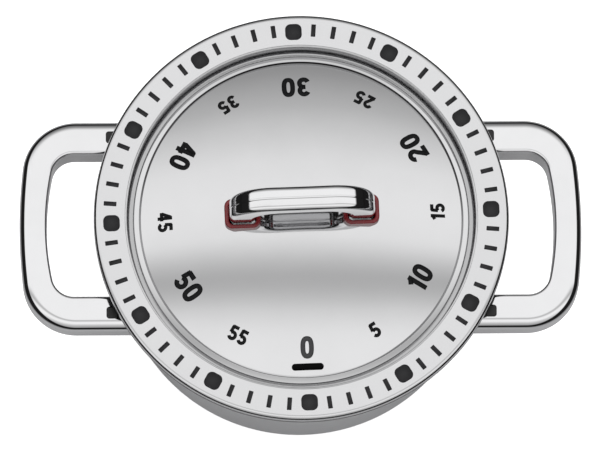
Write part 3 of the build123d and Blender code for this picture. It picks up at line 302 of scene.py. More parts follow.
def rounded(corners, steps=6, closed=True):
    """A line through (x, y, radius) corners, each replaced by an arc that touches both its sides.

    With b the half-angle between the sides, the arc starts and ends at radius / tan b from the
    corner and its centre lies at radius / sin b along their bisector.
    """
    count = len(corners)
    runs = []
    for index, (x, y, radius) in enumerate(corners):
        corner = np.array([x, y], float)
        at_end = not closed and index in (0, count - 1)
        if radius <= 0 or at_end:
            runs.append(corner[None])
            continue
        back = unit(np.array(corners[index - 1][:2], float) - corner)
        ahead = unit(np.array(corners[(index + 1) % count][:2], float) - corner)
        half = 0.5 * math.acos(np.clip(back @ ahead, -1.0, 1.0))
        centre = corner + unit(back + ahead) * radius / math.sin(half)
        spokes = [corner + side * radius / math.tan(half) - centre for side in (back, ahead)]
        first, last = [math.atan2(spoke[1], spoke[0]) for spoke in spokes]
        sweep = (last - first + math.pi) % (2 * math.pi) - math.pi
        turn = first + sweep * np.linspace(0, 1, steps + 1)
        runs.append(centre + radius * np.stack([np.cos(turn), np.sin(turn)], axis=-1))
    return np.concatenate(runs)


def round_box(half_x, half_y, radius, steps):
    """A rectangle's outline about the middle, with round corners."""
    return rounded([(s * half_x, t * half_y, radius) for s, t in CORNERS], steps)


def grid_quads(rows, columns, wrap_rows=False, wrap_columns=False):
    """Four corners for each cell of a grid whose point (i, j) is number i * columns + j."""
    i = np.arange(rows if wrap_rows else rows - 1)[:, None]
    j = np.arange(columns if wrap_columns else columns - 1)[None, :]
    i_next, j_next = (i + 1) % rows, (j + 1) % columns
    cells = [i * columns + j, i_next * columns + j, i_next * columns + j_next, i * columns + j_next]
    return np.stack(np.broadcast_arrays(*cells), axis=-1).reshape(-1, 4)


def signed_volume(points, faces):
    """A sixth of the sum of a . (b x c) over every face's triangles: positive if it faces outwards."""
    total = 0.0
    for group in faces:
        corner = points[group]
        for k in range(1, group.shape[1] - 1):
            cross = np.cross(corner[:, k], corner[:, k + 1])
            total += float(np.einsum("ij,ij->", corner[:, 0], cross)) / 6
    return total


def joined(shapes):
    """Several (points, faces) shapes as one, each shape's point numbers moved past the last one's."""
    points, faces, start = [], [], 0
    for shape_points, shape_faces in shapes:
        if signed_volume(shape_points, shape_faces) < 0:
            shape_faces = [group[:, ::-1] for group in shape_faces]
        points.append(shape_points)
        faces += [group + start for group in shape_faces]
        start += len(shape_points)
    return np.concatenate(points), faces


def lathed(profile, segments=256):
    """A profile of (radius, height) points turned about the Z axis.

    Point (i, j) is (r cos a, r sin a, z) with a = 2 pi i / segments. A profile that starts or
    ends on the axis gets one pole point there with a fan of triangles; any other one is closed.
    """
    poles = [k for k in (0, len(profile) - 1) if profile[k, 0] < 1e-9]
    swept = np.delete(profile, poles, axis=0)
    a = 2 * np.pi * np.arange(segments) / segments
    r, z = swept[:, 0], swept[:, 1]
    grid = np.stack([np.cos(a)[:, None] * r, np.sin(a)[:, None] * r, np.ones_like(a)[:, None] * z],
                    axis=-1)
    points = grid.reshape(-1, 3)
    faces = [grid_quads(segments, len(swept), True, not poles)]
    ring = np.arange(segments)
    for pole in poles:
        column = 0 if pole == 0 else len(swept) - 1
        first, second = ring * len(swept) + column, (ring + 1) % segments * len(swept) + column
        tip = np.full(segments, len(points))
        points = np.concatenate([points, [[0.0, 0.0, profile[pole, 1]]]])
        pair = (second, first) if pole == 0 else (first, second)
        faces.append(np.stack([tip, *pair], axis=-1))
    return points, faces


def tube(grid, closed=False):
    """A closed section carried along a path: rows are stations and columns go round the section.

    The rows join back to the start if closed, and otherwise each end gets one flat face.
    """
    rows, columns = grid.shape[:2]
    faces = [grid_quads(rows, columns, closed, True)]
    if not closed:
        ends = np.stack([np.arange(columns), (rows * columns - 1) - np.arange(columns)])
        faces.append(ends)
    return grid.reshape(-1, 3), faces


def bar_section(edge, inner_edge, steps=5, seam=0.0, seam_width=0.0):
    """The round-cornered section of a bar, for any half sizes h and w.

    Each point is (p h + o, q w + s) with whole-number shares p and q and offsets o and s: the
    corner arcs sit inside h and w by the edge radius of their side, and a shallow seam of the
    given depth can run along the middle of the outer and inner faces.
    """
    shares, offsets = [], []
    for p, q, start in ((1, 1, 0), (-1, 1, 90), (-1, -1, 180), (1, -1, 270)):
        turn = np.radians(start + np.linspace(0, 90, steps + 1))
        radius = edge if p == 1 else inner_edge
        round_part = radius * np.stack([np.cos(turn), np.sin(turn)], axis=-1)
        shares.append(np.tile([p, q], (steps + 1, 1)))
        offsets.append(round_part - radius * np.array([p, q]))
        if seam > 0 and p * q == -1:
            across = np.array([-2.2, -1.0, -0.45, 0.45, 1.0, 2.2]) * seam_width * p
            depth = np.array([0.0, 0.0, 1.0, 1.0, 0.0, 0.0]) * seam
            shares.append(np.tile([p, 0], (6, 1)))
            offsets.append(np.stack([-p * depth, across], axis=-1))
    return np.concatenate(shares).astype(float), np.concatenate(offsets)


def framed_bar(outer, inner, half_width, across, section):
    """A bar between two outlines: station i lies midway between outer[i] and inner[i].

    With n the direction from inner to outer, h half their distance and w the half width, point
    (i, j) is the middle + n (p h + o) + across (q w + s) for the section's shares and offsets.
    """
    shares, offsets = section
    middle = (outer + inner) / 2
    half = np.linalg.norm(outer - inner, axis=-1)[:, None] / 2
    n = unit(outer - inner)[:, None]
    along = half * shares[None, :, 0] + offsets[None, :, 0]
    aside = half_width[:, None] * shares[None, :, 1] + offsets[None, :, 1]
    return middle[:, None] + n * along[..., None] + np.array(across) * aside[..., None]


def padded_plate(outline, low, high, edge, steps=4):
    """A flat plate with an outline, its upper edge rounded: rows run up the side and over the edge.

    Row k of the rounding is the outline drawn in by edge (1 - cos a) at height high - edge
    (1 - sin a). Both ends are closed by one flat face.
    """
    middle = outline.mean(axis=0)
    turn = np.linspace(0, np.pi / 2, steps + 1)
    inset = np.concatenate([[0.0], edge * (1 - np.cos(turn))])
    height = np.concatenate([[low], high - edge * (1 - np.sin(turn))])
    reach = np.linalg.norm(outline - middle, axis=-1).max()
    scale = (1 - inset / reach)[:, None, None]
    flat = middle + (outline - middle)[None] * scale
    grid = np.concatenate([flat, np.broadcast_to(height[:, None, None], (*flat.shape[:2], 1))], axis=-1)
    return tube(grid)


def turned(points, a):
    """Points turned by an angle about the Z axis: (x cos a - y sin a, x sin a + y cos a, z)."""
    c, s = math.cos(a), math.sin(a)
    return points @ np.array([[c, s, 0.0], [-s, c, 0.0], [0.0, 0.0, 1.0]])


def dome_height(x, y, sizes):
    """Height of the lid's outside: the sphere's centre + the root of R squared - x squared - y squared."""
    centre = sizes.crown - sizes.dome_radius
    return centre + np.sqrt(sizes.dome_radius**2 - x**2 - y**2)


def new_object(name, points, faces):
    """An object at the origin with a mesh of points and groups of faces."""
    mesh = bpy.data.meshes.new(name)
    mesh.from_pydata(points.tolist(), [], [face for group in faces for face in group.tolist()])
    mesh.update()
    thing = bpy.data.objects.new(name, mesh)
    bpy.context.scene.collection.objects.link(thing)
    return thing


def put_piece(name, shape, finish, body, replaced=(), weighted=True):
    """Makes the object for a closed shape, facing outwards, and lets it ride on its body."""
    points, faces = joined([shape]) if isinstance(shape, tuple) else joined(shape)
    piece = new_object(name, points, faces)
    mesh = piece.data
    mesh.polygons.foreach_set("use_smooth", np.ones(len(mesh.polygons), bool))
    if mesh.validate():
        raise RuntimeError(f"{name} has faces that can't be kept")
    mesh.materials.append(finish_named(finish))
    if weighted:
        mesh.set_sharp_from_angle(angle=math.radians(50))
        normals = piece.modifiers.new("Even shading", "WEIGHTED_NORMAL")
        normals.keep_sharp = True
        normals.weight = 60
    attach(piece, body)
    if replaced:
        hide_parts(*replaced)
    return piece


# ------------------------------------------------------------------ shader nodes


def feed(tree, inputs, values):
    """Sets each named input, or links it where the value is another node's output."""
    for key, value in values.items():
        if isinstance(value, bpy.types.NodeSocket):
            tree.links.new(value, inputs[key])
        else:
            inputs[key].default_value = value


def add_node(tree, kind, values=None, **settings):
    """Adds a shader node, makes its settings and feeds its inputs."""
    node = tree.nodes.new(f"ShaderNode{kind}")
    for key, value in settings.items():
        setattr(node, key, value)
    feed(tree, node.inputs, values or {})
    return node


def calculate(tree, operation, *values):
    """A Math node's output."""
    return add_node(tree, "Math", dict(enumerate(values)), operation=operation).outputs[0]


def blended(tree, factor, first, second):
    """A colour between two, by a factor."""
    return add_node(tree, "Mix", {0: factor, 6: first, 7: second}, data_type="RGBA").outputs[2]


def ranged(tree, value, low, high):
    """A value's place between a low and a high one, from 0 to 1 and held there."""
    values = {"Value": value, "From Min": low, "From Max": high}
    return add_node(tree, "MapRange", values).outputs[0]


def noise(tree, vector, scale, detail, roughness=0.5, distortion=0.0):
    """A Noise Texture's value."""
    return add_node(tree, "TexNoise", {
        "Vector": vector, "Scale": scale, "Detail": detail, "Roughness": roughness,
        "Distortion": distortion,
    }).outputs[0]


def combined(tree, x, y, z=0.0):
    """Three numbers as one vector."""
    return add_node(tree, "CombineXYZ", {"X": x, "Y": y, "Z": z}).outputs[0]


def object_place(tree):
    """The place on a piece, in its object coordinates."""
    return add_node(tree, "TexCoord").outputs["Object"]


def axis_parts(tree, place):
    """A place's X, Y and Z, and its distance from the Z axis."""
    axes = add_node(tree, "SeparateXYZ", {0: place}).outputs
    flat = combined(tree, axes["X"], axes["Y"])
    return axes, add_node(tree, "VectorMath", {0: flat}, operation="LENGTH").outputs["Value"]


def wall_brushing(group, given):
    """Fine brushing round the Z axis: noise on (angle, height, radius), stretched along the angle."""
    axes, reach = axis_parts(group, object_place(group))
    turn = calculate(group, "ARCTAN2", axes["Y"], axes["X"])
    made = {}
    for output, lines, stretch in (("Lines", given["Lines"], 3.0), ("Bands", given["Blend"], 1.2)):
        line = combined(group, calculate(group, "MULTIPLY", turn, stretch),
                        calculate(group, "MULTIPLY", axes["Z"], lines),
                        calculate(group, "MULTIPLY", reach, lines))
        made[output] = noise(group, line, 1.0, 4.0, 0.6)
    return made


def straight_brushing(group, given):
    """Fine lines along X: noise on object coordinates with X pressed down."""
    axes = add_node(group, "SeparateXYZ", {0: object_place(group)}).outputs
    pressed = calculate(group, "MULTIPLY", axes["X"], given["Stretch"])
    line = combined(group, pressed, axes["Y"], axes["Z"])
    return {"Lines": noise(group, line, given["Lines"], 3.0, 0.55)}


def handling_marks(group, given):
    """Faint smudges and hairline scratches: cloudy noise, and noise drawn out into thin bent lines."""
    place = object_place(group)
    broad = noise(group, place, given["Smudges"], 5.0, 0.62)
    squeezed = add_node(group, "Mapping", {
        "Vector": place, "Rotation": (0.0, 0.0, 0.6), "Scale": (0.03, 1.0, 1.0),
    }).outputs[0]
    hair = noise(group, squeezed, given["Scratches"], 2.0, distortion=0.4)
    return {"Smudges": ranged(group, broad, 0.42, 0.72), "Scratches": ranged(group, hair, 0.70, 0.76)}


def moulded_grain(group, given):
    """The fine grain of a moulded surface: small soft cells, and clouds of noise."""
    place = object_place(group)
    values = {"Vector": place, "Scale": given["Grain"]}
    cells = add_node(group, "TexVoronoi", values, feature="SMOOTH_F1").outputs["Distance"]
    return {"Grain": cells, "Clouds": noise(group, place, 160.0, 4.0)}


def lathe_marks(group, given):
    """Turning marks round the Z axis: noise on the distance from the axis, and an uneven tint."""
    place = object_place(group)
    axes, reach = axis_parts(group, place)
    line = combined(group, calculate(group, "MULTIPLY", reach, given["Ripples"]),
                    calculate(group, "MULTIPLY", axes["Z"], 40.0))
    return {"Ripples": noise(group, line, 1.0, 2.0), "Tint": noise(group, place, 220.0, 5.0, 0.6)}


# The band is the mask for painted dark: a painted reflection on the lid's step and painted shade in the
# ring's bore.
def radial_band(group, given):
    """A soft band round the Z axis: one between an inner and an outer distance from it, else nothing.

    It is multiplied by 1 - lean (1 - y / r) / 2 where that is above zero, so that with a lean it
    fades towards the front.
    """
    axes, reach = axis_parts(group, object_place(group))
    steps = []
    for edge in ("Inner", "Outer"):
        start = calculate(group, "SUBTRACT", given[edge], given["Blur"])
        end = calculate(group, "ADD", given[edge], given["Blur"])
        steps.append(ranged(group, reach, start, end))
    forward = calculate(group, "SUBTRACT", 1.0, calculate(group, "DIVIDE", axes["Y"], reach))
    fade = calculate(group, "MULTIPLY", calculate(group, "MULTIPLY", forward, 0.5), given["Lean"])
    kept = calculate(group, "MAXIMUM", calculate(group, "SUBTRACT", 1.0, fade), 0.0)
    return {"Band": calculate(group, "MULTIPLY", calculate(group, "SUBTRACT", *steps), kept)}


# Each shared group's maker, and its inputs with their defaults.
GROUP_MAKERS = {
    "Radial band": (radial_band, {"Inner": 0.0, "Outer": 0.1, "Lean": 0.0, "Blur": 0.04 * MM}),
    "Wall brushing": (wall_brushing, {"Lines": 9000.0, "Blend": 900.0}),
    "Straight brushing": (straight_brushing, {"Lines": 7000.0, "Stretch": 0.02}),
    "Handling marks": (handling_marks, {"Smudges": 90.0, "Scratches": 700.0}),
    "Moulded grain": (moulded_grain, {"Grain": 6000.0}),
    "Lathe marks": (lathe_marks, {"Ripples": 5200.0}),
}
GROUPS = {}
FINISHES = {}


def new_group(name):
    """One of the shared node groups, with named float inputs and outputs."""
    maker, defaults = GROUP_MAKERS[name]
    group = bpy.data.node_groups.new(name, "ShaderNodeTree")
    for key, default in defaults.items():
        socket = group.interface.new_socket(key, in_out="INPUT", socket_type="NodeSocketFloat")
        socket.default_value = default
    made = maker(group, group.nodes.new("NodeGroupInput").outputs)
    for key in made:
        group.interface.new_socket(key, in_out="OUTPUT", socket_type="NodeSocketFloat")
    feed(group, group.nodes.new("NodeGroupOutput").inputs, made)
    return group


def placed_group(tree, name, values=None):
    """Places one of the shared groups, made the first time it is asked for."""
    if name not in GROUPS:
        GROUPS[name] = new_group(name)
    return add_node(tree, "Group", values, node_tree=GROUPS[name]).outputs


def new_finish(name):
    """An empty material with its Principled shader and output."""
    material = bpy.data.materials.new(name)
    material.use_nodes = True
    tree = material.node_tree
    tree.nodes.clear()
    shader = add_node(tree, "BsdfPrincipled")
    add_node(tree, "OutputMaterial", {"Surface": shader.outputs[0]})
    return material, tree, shader.inputs


def rgba(value, scale=1.0):
    """A colour setting as four numbers, made lighter or darker by a factor."""
    return (*[min(1.0, channel * scale) for channel in value], 1.0)


def bumped(tree, height, strength, distance):
    """A Bump node's normal for a height."""
    values = {"Height": height, "Strength": strength, "Distance": distance}
    return add_node(tree, "Bump", values).outputs[0]


def shaded(tree, tone, tint, bands):
    """A tone made darker in (inner, outer, share, lean) bands round the Z axis: painted reflection and
    painted shade.
    """
    for inner, outer, share, lean in bands:
        limits = {"Inner": inner, "Outer": outer, "Lean": lean}
        band = placed_group(tree, "Radial band", limits)["Band"]
        tone = blended(tree, band, tone, rgba(tint, share))
    return tone


def polished_metal(name, tint, roughness, smudge=0.05, scratch=0.06, bands=()):
    """Polished metal: handling marks lift the roughness a little and dull the tone, and its bands paint a
    dark reflection into it.
    """
    material, tree, shader = new_finish(name)
    marks = placed_group(tree, "Handling marks")
    tone = blended(tree, marks["Smudges"], rgba(tint), rgba(tint, 0.97))
    worn = calculate(tree, "MULTIPLY_ADD", marks["Smudges"], smudge, roughness)
    feed(tree, shader, {
        "Base Color": shaded(tree, tone, tint, bands),
        "Roughness": calculate(tree, "MULTIPLY_ADD", marks["Scratches"], scratch, worn),
        "Metallic": 1.0,
    })
    return material


def satin_metal(name, tint, roughness, lines, contrast, depth, strength, bands=()):
    """Brushed metal whose lines run round the axis, in tone, roughness and relief; its bands paint shade
    into the tone.
    """
    material, tree, shader = new_finish(name)
    brushing = placed_group(tree, "Wall brushing", {"Lines": lines})
    marks = placed_group(tree, "Handling marks", {"Smudges": 60.0})
    line = ranged(tree, brushing["Lines"], 0.3, 0.7)
    band = ranged(tree, brushing["Bands"], 0.3, 0.7)
    tone = blended(tree, line, rgba(tint, 1 - contrast), rgba(tint, 1 + contrast))
    soft = blended(tree, calculate(tree, "MULTIPLY", band, 0.5), tone, rgba(tint, 1 - contrast / 2))
    rough = calculate(tree, "MULTIPLY_ADD", line, 0.08, roughness - 0.04)
    feed(tree, shader, {
        "Base Color": shaded(tree, soft, tint, bands),
        "Roughness": calculate(tree, "MULTIPLY_ADD", marks["Smudges"], 0.04, rough),
        "Normal": bumped(tree, brushing["Lines"], strength, depth),
        "Metallic": 1.0,
    })
    return material


def turned_metal(name, tint, roughness):
    """Metal turned or stamped for the movement, with turning marks and an uneven tone."""
    material, tree, shader = new_finish(name)
    turning = placed_group(tree, "Lathe marks")
    lines = placed_group(tree, "Straight brushing")
    uneven = ranged(tree, turning["Tint"], 0.35, 0.7)
    feed(tree, shader, {
        "Base Color": blended(tree, uneven, rgba(tint, 1.05), rgba(tint, 0.84)),
        "Roughness": calculate(tree, "MULTIPLY_ADD", lines["Lines"], 0.16, roughness),
        "Normal": bumped(tree, turning["Ripples"], 0.12, 0.03 * MM),
        "Metallic": 1.0,
    })
    return material


def moulded(name, tint, roughness, coat=0.0, grain=6000.0, relief=0.12):
    """Moulded plastic or rubber with a fine grain and slightly uneven gloss."""
    material, tree, shader = new_finish(name)
    surface = placed_group(tree, "Moulded grain", {"Grain": grain})
    clouds = ranged(tree, surface["Clouds"], 0.35, 0.7)
    feed(tree, shader, {
        "Base Color": blended(tree, clouds, rgba(tint), rgba(tint, 1.25)),
        "Roughness": calculate(tree, "MULTIPLY_ADD", clouds, 0.08, roughness),
        "Normal": bumped(tree, surface["Grain"], relief, 0.03 * MM),
        "Coat Weight": coat,
        "Coat Roughness": 0.06,
    })
    return material


def printed(name, tint):
    """Screen-printed paint: a dense film with faint pinholes in its tone."""
    material, tree, shader = new_finish(name)
    surface = placed_group(tree, "Moulded grain", {"Grain": 9000.0})
    clouds = ranged(tree, surface["Clouds"], 0.3, 0.75)
    feed(tree, shader, {
        "Base Color": blended(tree, clouds, rgba(tint), rgba(tint, 1.18)),
        "Roughness": calculate(tree, "MULTIPLY_ADD", surface["Grain"], 0.1, 0.5),
        "Normal": bumped(tree, surface["Grain"], 0.08, 0.01 * MM),
        "Specular IOR Level": 0.06,
    })
    return material


def finish_named(name):
    """One of the timer's finishes, made the first time it is asked for."""
    if name in FINISHES:
        return FINISHES[name]
    settings = bpy.context.scene.kitchen_timer
    look, lid, pot = settings.finish, settings.lid, settings.pot
    # Painted reflection: the lid's step is darkened, most at the back.
    step = (lid.step_radius - 0.02 * MM, lid.step_radius + lid.step_width, look.step_shade,
            look.step_lean)
    # Painted shade: the ring's bore and the faces inside it are darkened.
    bore = (0.0, pot.ring_inner + 0.5 * pot.ring_lip, look.bore_shade, 0.0)
    maker, *values = {
        "chrome": (polished_metal, "Chrome plating", look.chrome, look.chrome_roughness),
        "lid": (polished_metal, "Polished lid", look.lid_steel, look.lid_roughness, 0.02, 0.02, [step]),
        "ring": (satin_metal, "Satin ring", look.ring_steel, look.ring_roughness, 9000.0, 0.02,
                 0.02 * MM, 0.08, [bore]),
        "shell": (satin_metal, "Brushed shell", look.shell_steel, look.shell_roughness, 8000.0, 0.07,
                  0.03 * MM, 0.14),
        "bell": (turned_metal, "Plated bell", look.bell_steel, 0.12),
        "brass": (turned_metal, "Rolled brass", look.brass, 0.22),
        "blued": (turned_metal, "Blued steel", look.blued_steel, 0.2),
        "screw": (turned_metal, "Zinc screw", look.screw_steel, 0.26),
        "turned": (turned_metal, "Turned steel", look.turned_steel, 0.18),
        # Black moulding for the case, cap and carrier; the ring's underside also takes it as painted shade.
        "plastic": (moulded, "Black moulding", look.black_plastic, 0.42),
        "rubber": (moulded, "Rubber", look.rubber, 0.62, 0.0, 4000.0, 0.2),
        "collar": (moulded, "Red collar", look.red_collar, 0.22, 0.15, 5000.0, 0.03),
        "peg": (moulded, "Peg plastic", look.black_print, 0.3, 0.0, 5000.0, 0.02),
        "dark_print": (printed, "Mark print", look.dark_print),
        "number_print": (printed, "Number print", look.number_print),
        "zero_print": (printed, "Zero print", look.zero_print),
        "black_print": (printed, "Black print", look.black_print),
    }[name]
    FINISHES[name] = maker(*values)
    return FINISHES[name]


# ------------------------------------------------------------------ the pieces


class TIMER_OT_pot_shell(bpy.types.Operator):
    """Make the pot's brushed shell"""

    bl_idname = "timer.pot_shell"
    bl_label = "Pot shell"

    def execute(self, context):
        pot = context.scene.kitchen_timer.pot
        wall, rim = pot.shell_wall, 0.2 * MM
        profile = rounded([
            (pot.shell_flange, pot.shell_low, rim),
            (pot.shell_radius, pot.shell_low, pot.shell_bend),
            (pot.shell_radius, pot.shell_high, rim),
            (pot.shell_radius - wall, pot.shell_high, rim),
            (pot.shell_radius - wall, pot.shell_low + wall, pot.shell_bend - wall),
            (pot.shell_flange, pot.shell_low + wall, rim),
        ], 8)
        put_piece("pot_wall", lathed(profile), "shell", "pot", ["pot_shell"])
        return {"FINISHED"}


class TIMER_OT_dial_ring(bpy.types.Operator):
    """Make the satin minute ring with its sixty printed marks"""

    bl_idname = "timer.dial_ring"
    bl_label = "Minute ring"

    def execute(self, context):
        settings = context.scene.kitchen_timer
        pot = settings.pot
        edge, sheet, fine, foot_edge = pot.ring_edge, pot.ring_sheet, 0.1 * MM, 0.15 * MM
        wall, ledge = pot.ring_inner + pot.ring_bore, pot.ring_foot + pot.ring_bore
        lip, skirt = pot.ring_inner + pot.ring_lip, pot.ring_top - pot.ring_skirt
        profile = rounded([
            (lip, pot.ring_top, fine),
            (pot.ring_radius, pot.ring_top, edge),
            (pot.ring_radius, pot.ring_top - pot.ring_dark * pot.ring_skirt, 0.0),
            (pot.ring_radius, skirt, foot_edge),
            (pot.ring_radius - sheet, skirt, foot_edge),
            (pot.ring_radius - sheet, pot.ring_top - sheet, edge / 2),
            (wall, pot.ring_top - sheet, fine),
            (wall, pot.ring_foot, fine),
            (pot.ring_ledge, pot.ring_foot, fine),
            (pot.ring_ledge, ledge, fine),
            (pot.ring_inner, ledge, 0.55 * MM),
            (pot.ring_inner, pot.ring_top - pot.ring_lip_drop, 0.12 * MM),
            (lip, pot.ring_top - pot.ring_lip_rise, 0.05 * MM),
        ], 6)
        ring = put_piece("minute_ring", lathed(profile, 320), "ring", "dial",
                         ["dial_ring"])
        self.blacken_underside(ring, pot, wall)
        put_piece("minute_marks", self.marks(settings), "dark_print", "dial",
                  weighted=False)
        return {"FINISHED"}

    def blacken_underside(self, ring, pot, wall):
        """Paints the faces under the ring's sheet and the skirt's foot with the black moulding, as painted
        shade under the ring.
        """
        ring.data.materials.append(finish_named("plastic"))
        centres = np.empty(len(ring.data.polygons) * 3)
        ring.data.polygons.foreach_get("center", centres)
        x, y, z = centres.reshape(-1, 3).T
        reach = np.hypot(x, y)
        inside = (reach > wall - 0.05 * MM) & (reach < pot.ring_radius - 0.6 * pot.ring_sheet)
        painted_shade_foot = (reach > wall) & (z < pot.ring_top - pot.ring_dark * pot.ring_skirt)
        under = painted_shade_foot | inside & (z < pot.ring_top - 0.6 * pot.ring_sheet)
        ring.data.polygons.foreach_set("material_index", under.astype(np.int32))

    def marks(self, settings):
        """Sixty plates round the ring, six degrees apart: a rounded square on every fifth place."""
        ink, face = settings.print, settings.pot.ring_top
        bar = round_box(ink.bar_length / 2, ink.bar_width / 2, ink.bar_corner, 2)
        square = round_box(ink.square_side / 2, ink.square_side / 2, ink.square_corner, 8)
        shapes = []
        for place in range(60):
            outline, radius = (square, ink.square_radius) if place % 5 == 0 else (bar, ink.bar_radius)
            moved = outline + np.array([radius, 0.0])
            rows = [np.column_stack([moved, np.full(len(moved), height)])
                    for height in (face - PRINT_ROOT, face + ink.film)]
            a = settings.lid.turn + math.radians(6 * place - 90)
            shapes.append(tube(turned(np.stack(rows), a)))
        return shapes


class TIMER_OT_lid(bpy.types.Operator):
    """Make the polished domed lid with its numbers and zero bar"""

    bl_idname = "timer.lid"
    bl_label = "Domed lid"

    def execute(self, context):
        settings = context.scene.kitchen_timer
        lid = settings.lid
        step, fine = lid.step_radius, 0.1 * MM
        step_top = float(dome_height(step, 0.0, lid))
        step_foot = step_top - lid.step_width * math.tan(lid.step_slope)
        brim = lid.flange_radius - step - lid.step_width
        brim_edge = step_foot - brim * math.tan(lid.brim_slope)
        outer = np.linspace(0, 1, 60)[:-1] * step
        inner_edge = lid.dome_edge - lid.sheet
        inner = np.linspace(1, 0, 60) * inner_edge
        centre = lid.crown - lid.dome_radius
        under = centre + np.sqrt((lid.dome_radius - lid.sheet) ** 2 - inner**2)
        profile = rounded([
            *[(r, z, 0.0) for r, z in zip(outer, dome_height(outer, 0.0, lid))],
            (step, step_top, lid.step_bend),
            (step + lid.step_width, step_foot, lid.step_foot),
            (lid.flange_radius, brim_edge, lid.dome_roll),
            (lid.flange_radius, lid.flange_low, fine),
            (inner_edge, lid.flange_low, fine),
            *[(r, z, 0.0) for r, z in zip(inner, under)],
        ], 8, closed=False)
        put_piece("domed_lid", lathed(profile, 320), "lid", "dial", ["lid"])
        numbers, zero = self.numbers(settings)
        for name, shapes, finish in (("lid_numbers", numbers, "number_print"),
                                     ("lid_zero", zero, "zero_print"),
                                     ("zero_bar", self.zero_bar(settings), "black_print")):
            put_piece(name, shapes, finish, "dial", weighted=False)
        return {"FINISHED"}

    def on_dome(self, flat, radius, a, settings):
        """Lays (x, y, lift) points on the dome: x goes round and y goes towards the crown.

        The place is radius - y out along the angle a and x across it, and the height is the
        dome's there plus the lift.
        """
        out = np.array([math.cos(a), math.sin(a)])
        across = np.array([-math.sin(a), math.cos(a)])
        place = out * (radius - flat[..., 1:2]) + across * flat[..., 0:1]
        height = dome_height(place[..., 0], place[..., 1], settings.lid) + flat[..., 2]
        return np.concatenate([place, height[..., None]], axis=-1)

    def ribbon(self, path, width, film, closed=False):
        """A flat band along a path, whose corners lie half the width to each side along its normal."""
        if closed:
            tangent = np.roll(path, -1, axis=0) - np.roll(path, 1, axis=0)
        else:
            tangent = np.gradient(path, axis=0)
        normal = unit(tangent)[:, ::-1] * np.array([-1.0, 1.0]) * width / 2
        section = [(-1, -PRINT_ROOT), (-1, film), (1, film), (1, -PRINT_ROOT)]
        rows = [np.column_stack([path + side * normal, np.full(len(path), lift)])
                for side, lift in section]
        return np.stack(rows, axis=1)

    def evenly(self, path, spacing, closed):
        """The same line with points no further apart than the spacing, measured along it."""
        line = np.concatenate([path, path[:1]]) if closed else path
        along = np.concatenate([[0.0], np.cumsum(np.linalg.norm(np.diff(line, axis=0), axis=-1))])
        count = max(6, int(along[-1] / spacing))
        stops = np.linspace(0, along[-1], count, endpoint=not closed)
        return np.stack([np.interp(stops, along, line[:, axis]) for axis in (0, 1)], axis=-1)

    def strokes(self, digit, height, spacing):
        """The centre lines of a digit, in shares of its height, each with whether it closes on itself."""
        turn = np.linspace(0, 2 * np.pi, 40, endpoint=False)
        power = 2 / 2.7
        oval = np.stack([np.sign(np.cos(turn)) * np.abs(np.cos(turn)) ** power * 0.205,
                         np.sign(np.sin(turn)) * np.abs(np.sin(turn)) ** power * 0.4], axis=-1)

        def run(*corners):
            """Straight runs through corners, with short bends at the inner ones."""
            return rounded([(*corner, 0.07) for corner in corners], 4, closed=False)

        shapes = {
            "0": [(oval + [0.31, 0.5], True)],
            "1": [(run((0.06, 0.72), (0.30, 0.88)), False), (run((0.30, 0.0), (0.30, 1.0)), False)],
            "2": [(np.concatenate([arc((0.30, 0.69), 0.21, 172, -28, 14), run((0.40, 0.50), (0.13, 0.13))]),
                   False), (run((0.02, 0.1), (0.57, 0.1)), False)],
            "3": [(np.concatenate([arc((0.28, 0.70), 0.2, 160, -84, 16), [[0.2, 0.505]]]), False),
                  (np.concatenate([[[0.2, 0.505]], arc((0.28, 0.305), 0.205, 84, -160, 16)]), False)],
            "4": [(run((0.42, 0.0), (0.42, 1.0)), False), (run((0.0, 0.28), (0.60, 0.28)), False),
                  (run((0.37, 0.92), (0.09, 0.30)), False)],
            "5": [(run((0.12, 0.9), (0.56, 0.9)), False), (run((0.17, 0.96), (0.13, 0.48)), False),
                  (arc((0.31, 0.32), 0.22, 140, -155, 18), False)],
        }
        return [(self.evenly(path * height, spacing, closed), closed)
                for path, closed in shapes[digit]]

    def numbers(self, settings):
        """The numbers 0 to 55 by fives, against the clock from the front, tops towards the crown."""
        ink = settings.print
        others, zero = [], []
        for value in range(0, 60, 5):
            large = value % 10 == 0
            height = ink.large_height if large else ink.small_height
            radius = ink.large_radius if large else ink.small_radius
            a = settings.lid.turn + math.radians(6 * value - 90)
            advance = [0.44 if digit == "1" else 0.62 for digit in str(value)]
            start = -(sum(advance) + ink.digit_gap * (len(advance) - 1)) / 2
            for digit, wide in zip(str(value), advance):
                for path, closed in self.strokes(digit, height, ink.point_step):
                    shift = np.array([start * height, -height / 2])
                    band = self.ribbon(path + shift, ink.stroke * height, ink.film, closed)
                    shape = tube(self.on_dome(band, radius, a, settings), closed)
                    (zero if value == 0 else others).append(shape)
                start += wide + ink.digit_gap
        return others, zero

    def zero_bar(self, settings):
        """A flat bar with round ends: at a place t from an end, half its width is the root of
        r squared less (r - t) squared where t is below the end radius r, and r beyond it.
        """
        ink = settings.print
        half, reach = ink.zero_bar_width / 2, ink.zero_bar_length / 2
        bend = half * (1 - np.cos(np.linspace(0.15, np.pi / 2, 8)))
        straight = np.linspace(-reach + half, reach - half, 26)[1:-1]
        x = np.concatenate([bend - reach, straight, reach - bend[::-1]])
        inset = np.minimum(reach - np.abs(x), half)
        y = np.sqrt(half**2 - (half - inset) ** 2)
        lift = 1.5 * ink.film
        rows = [(-1, -PRINT_ROOT), (-1, lift), (0, lift), (1, lift), (1, -PRINT_ROOT)]
        grid = np.stack([np.column_stack([x, side * y, np.full(len(x), lift)])
                         for side, lift in rows], axis=1)
        a = settings.lid.turn - math.pi / 2
        return tube(self.on_dome(grid, ink.zero_bar_radius, a, settings))


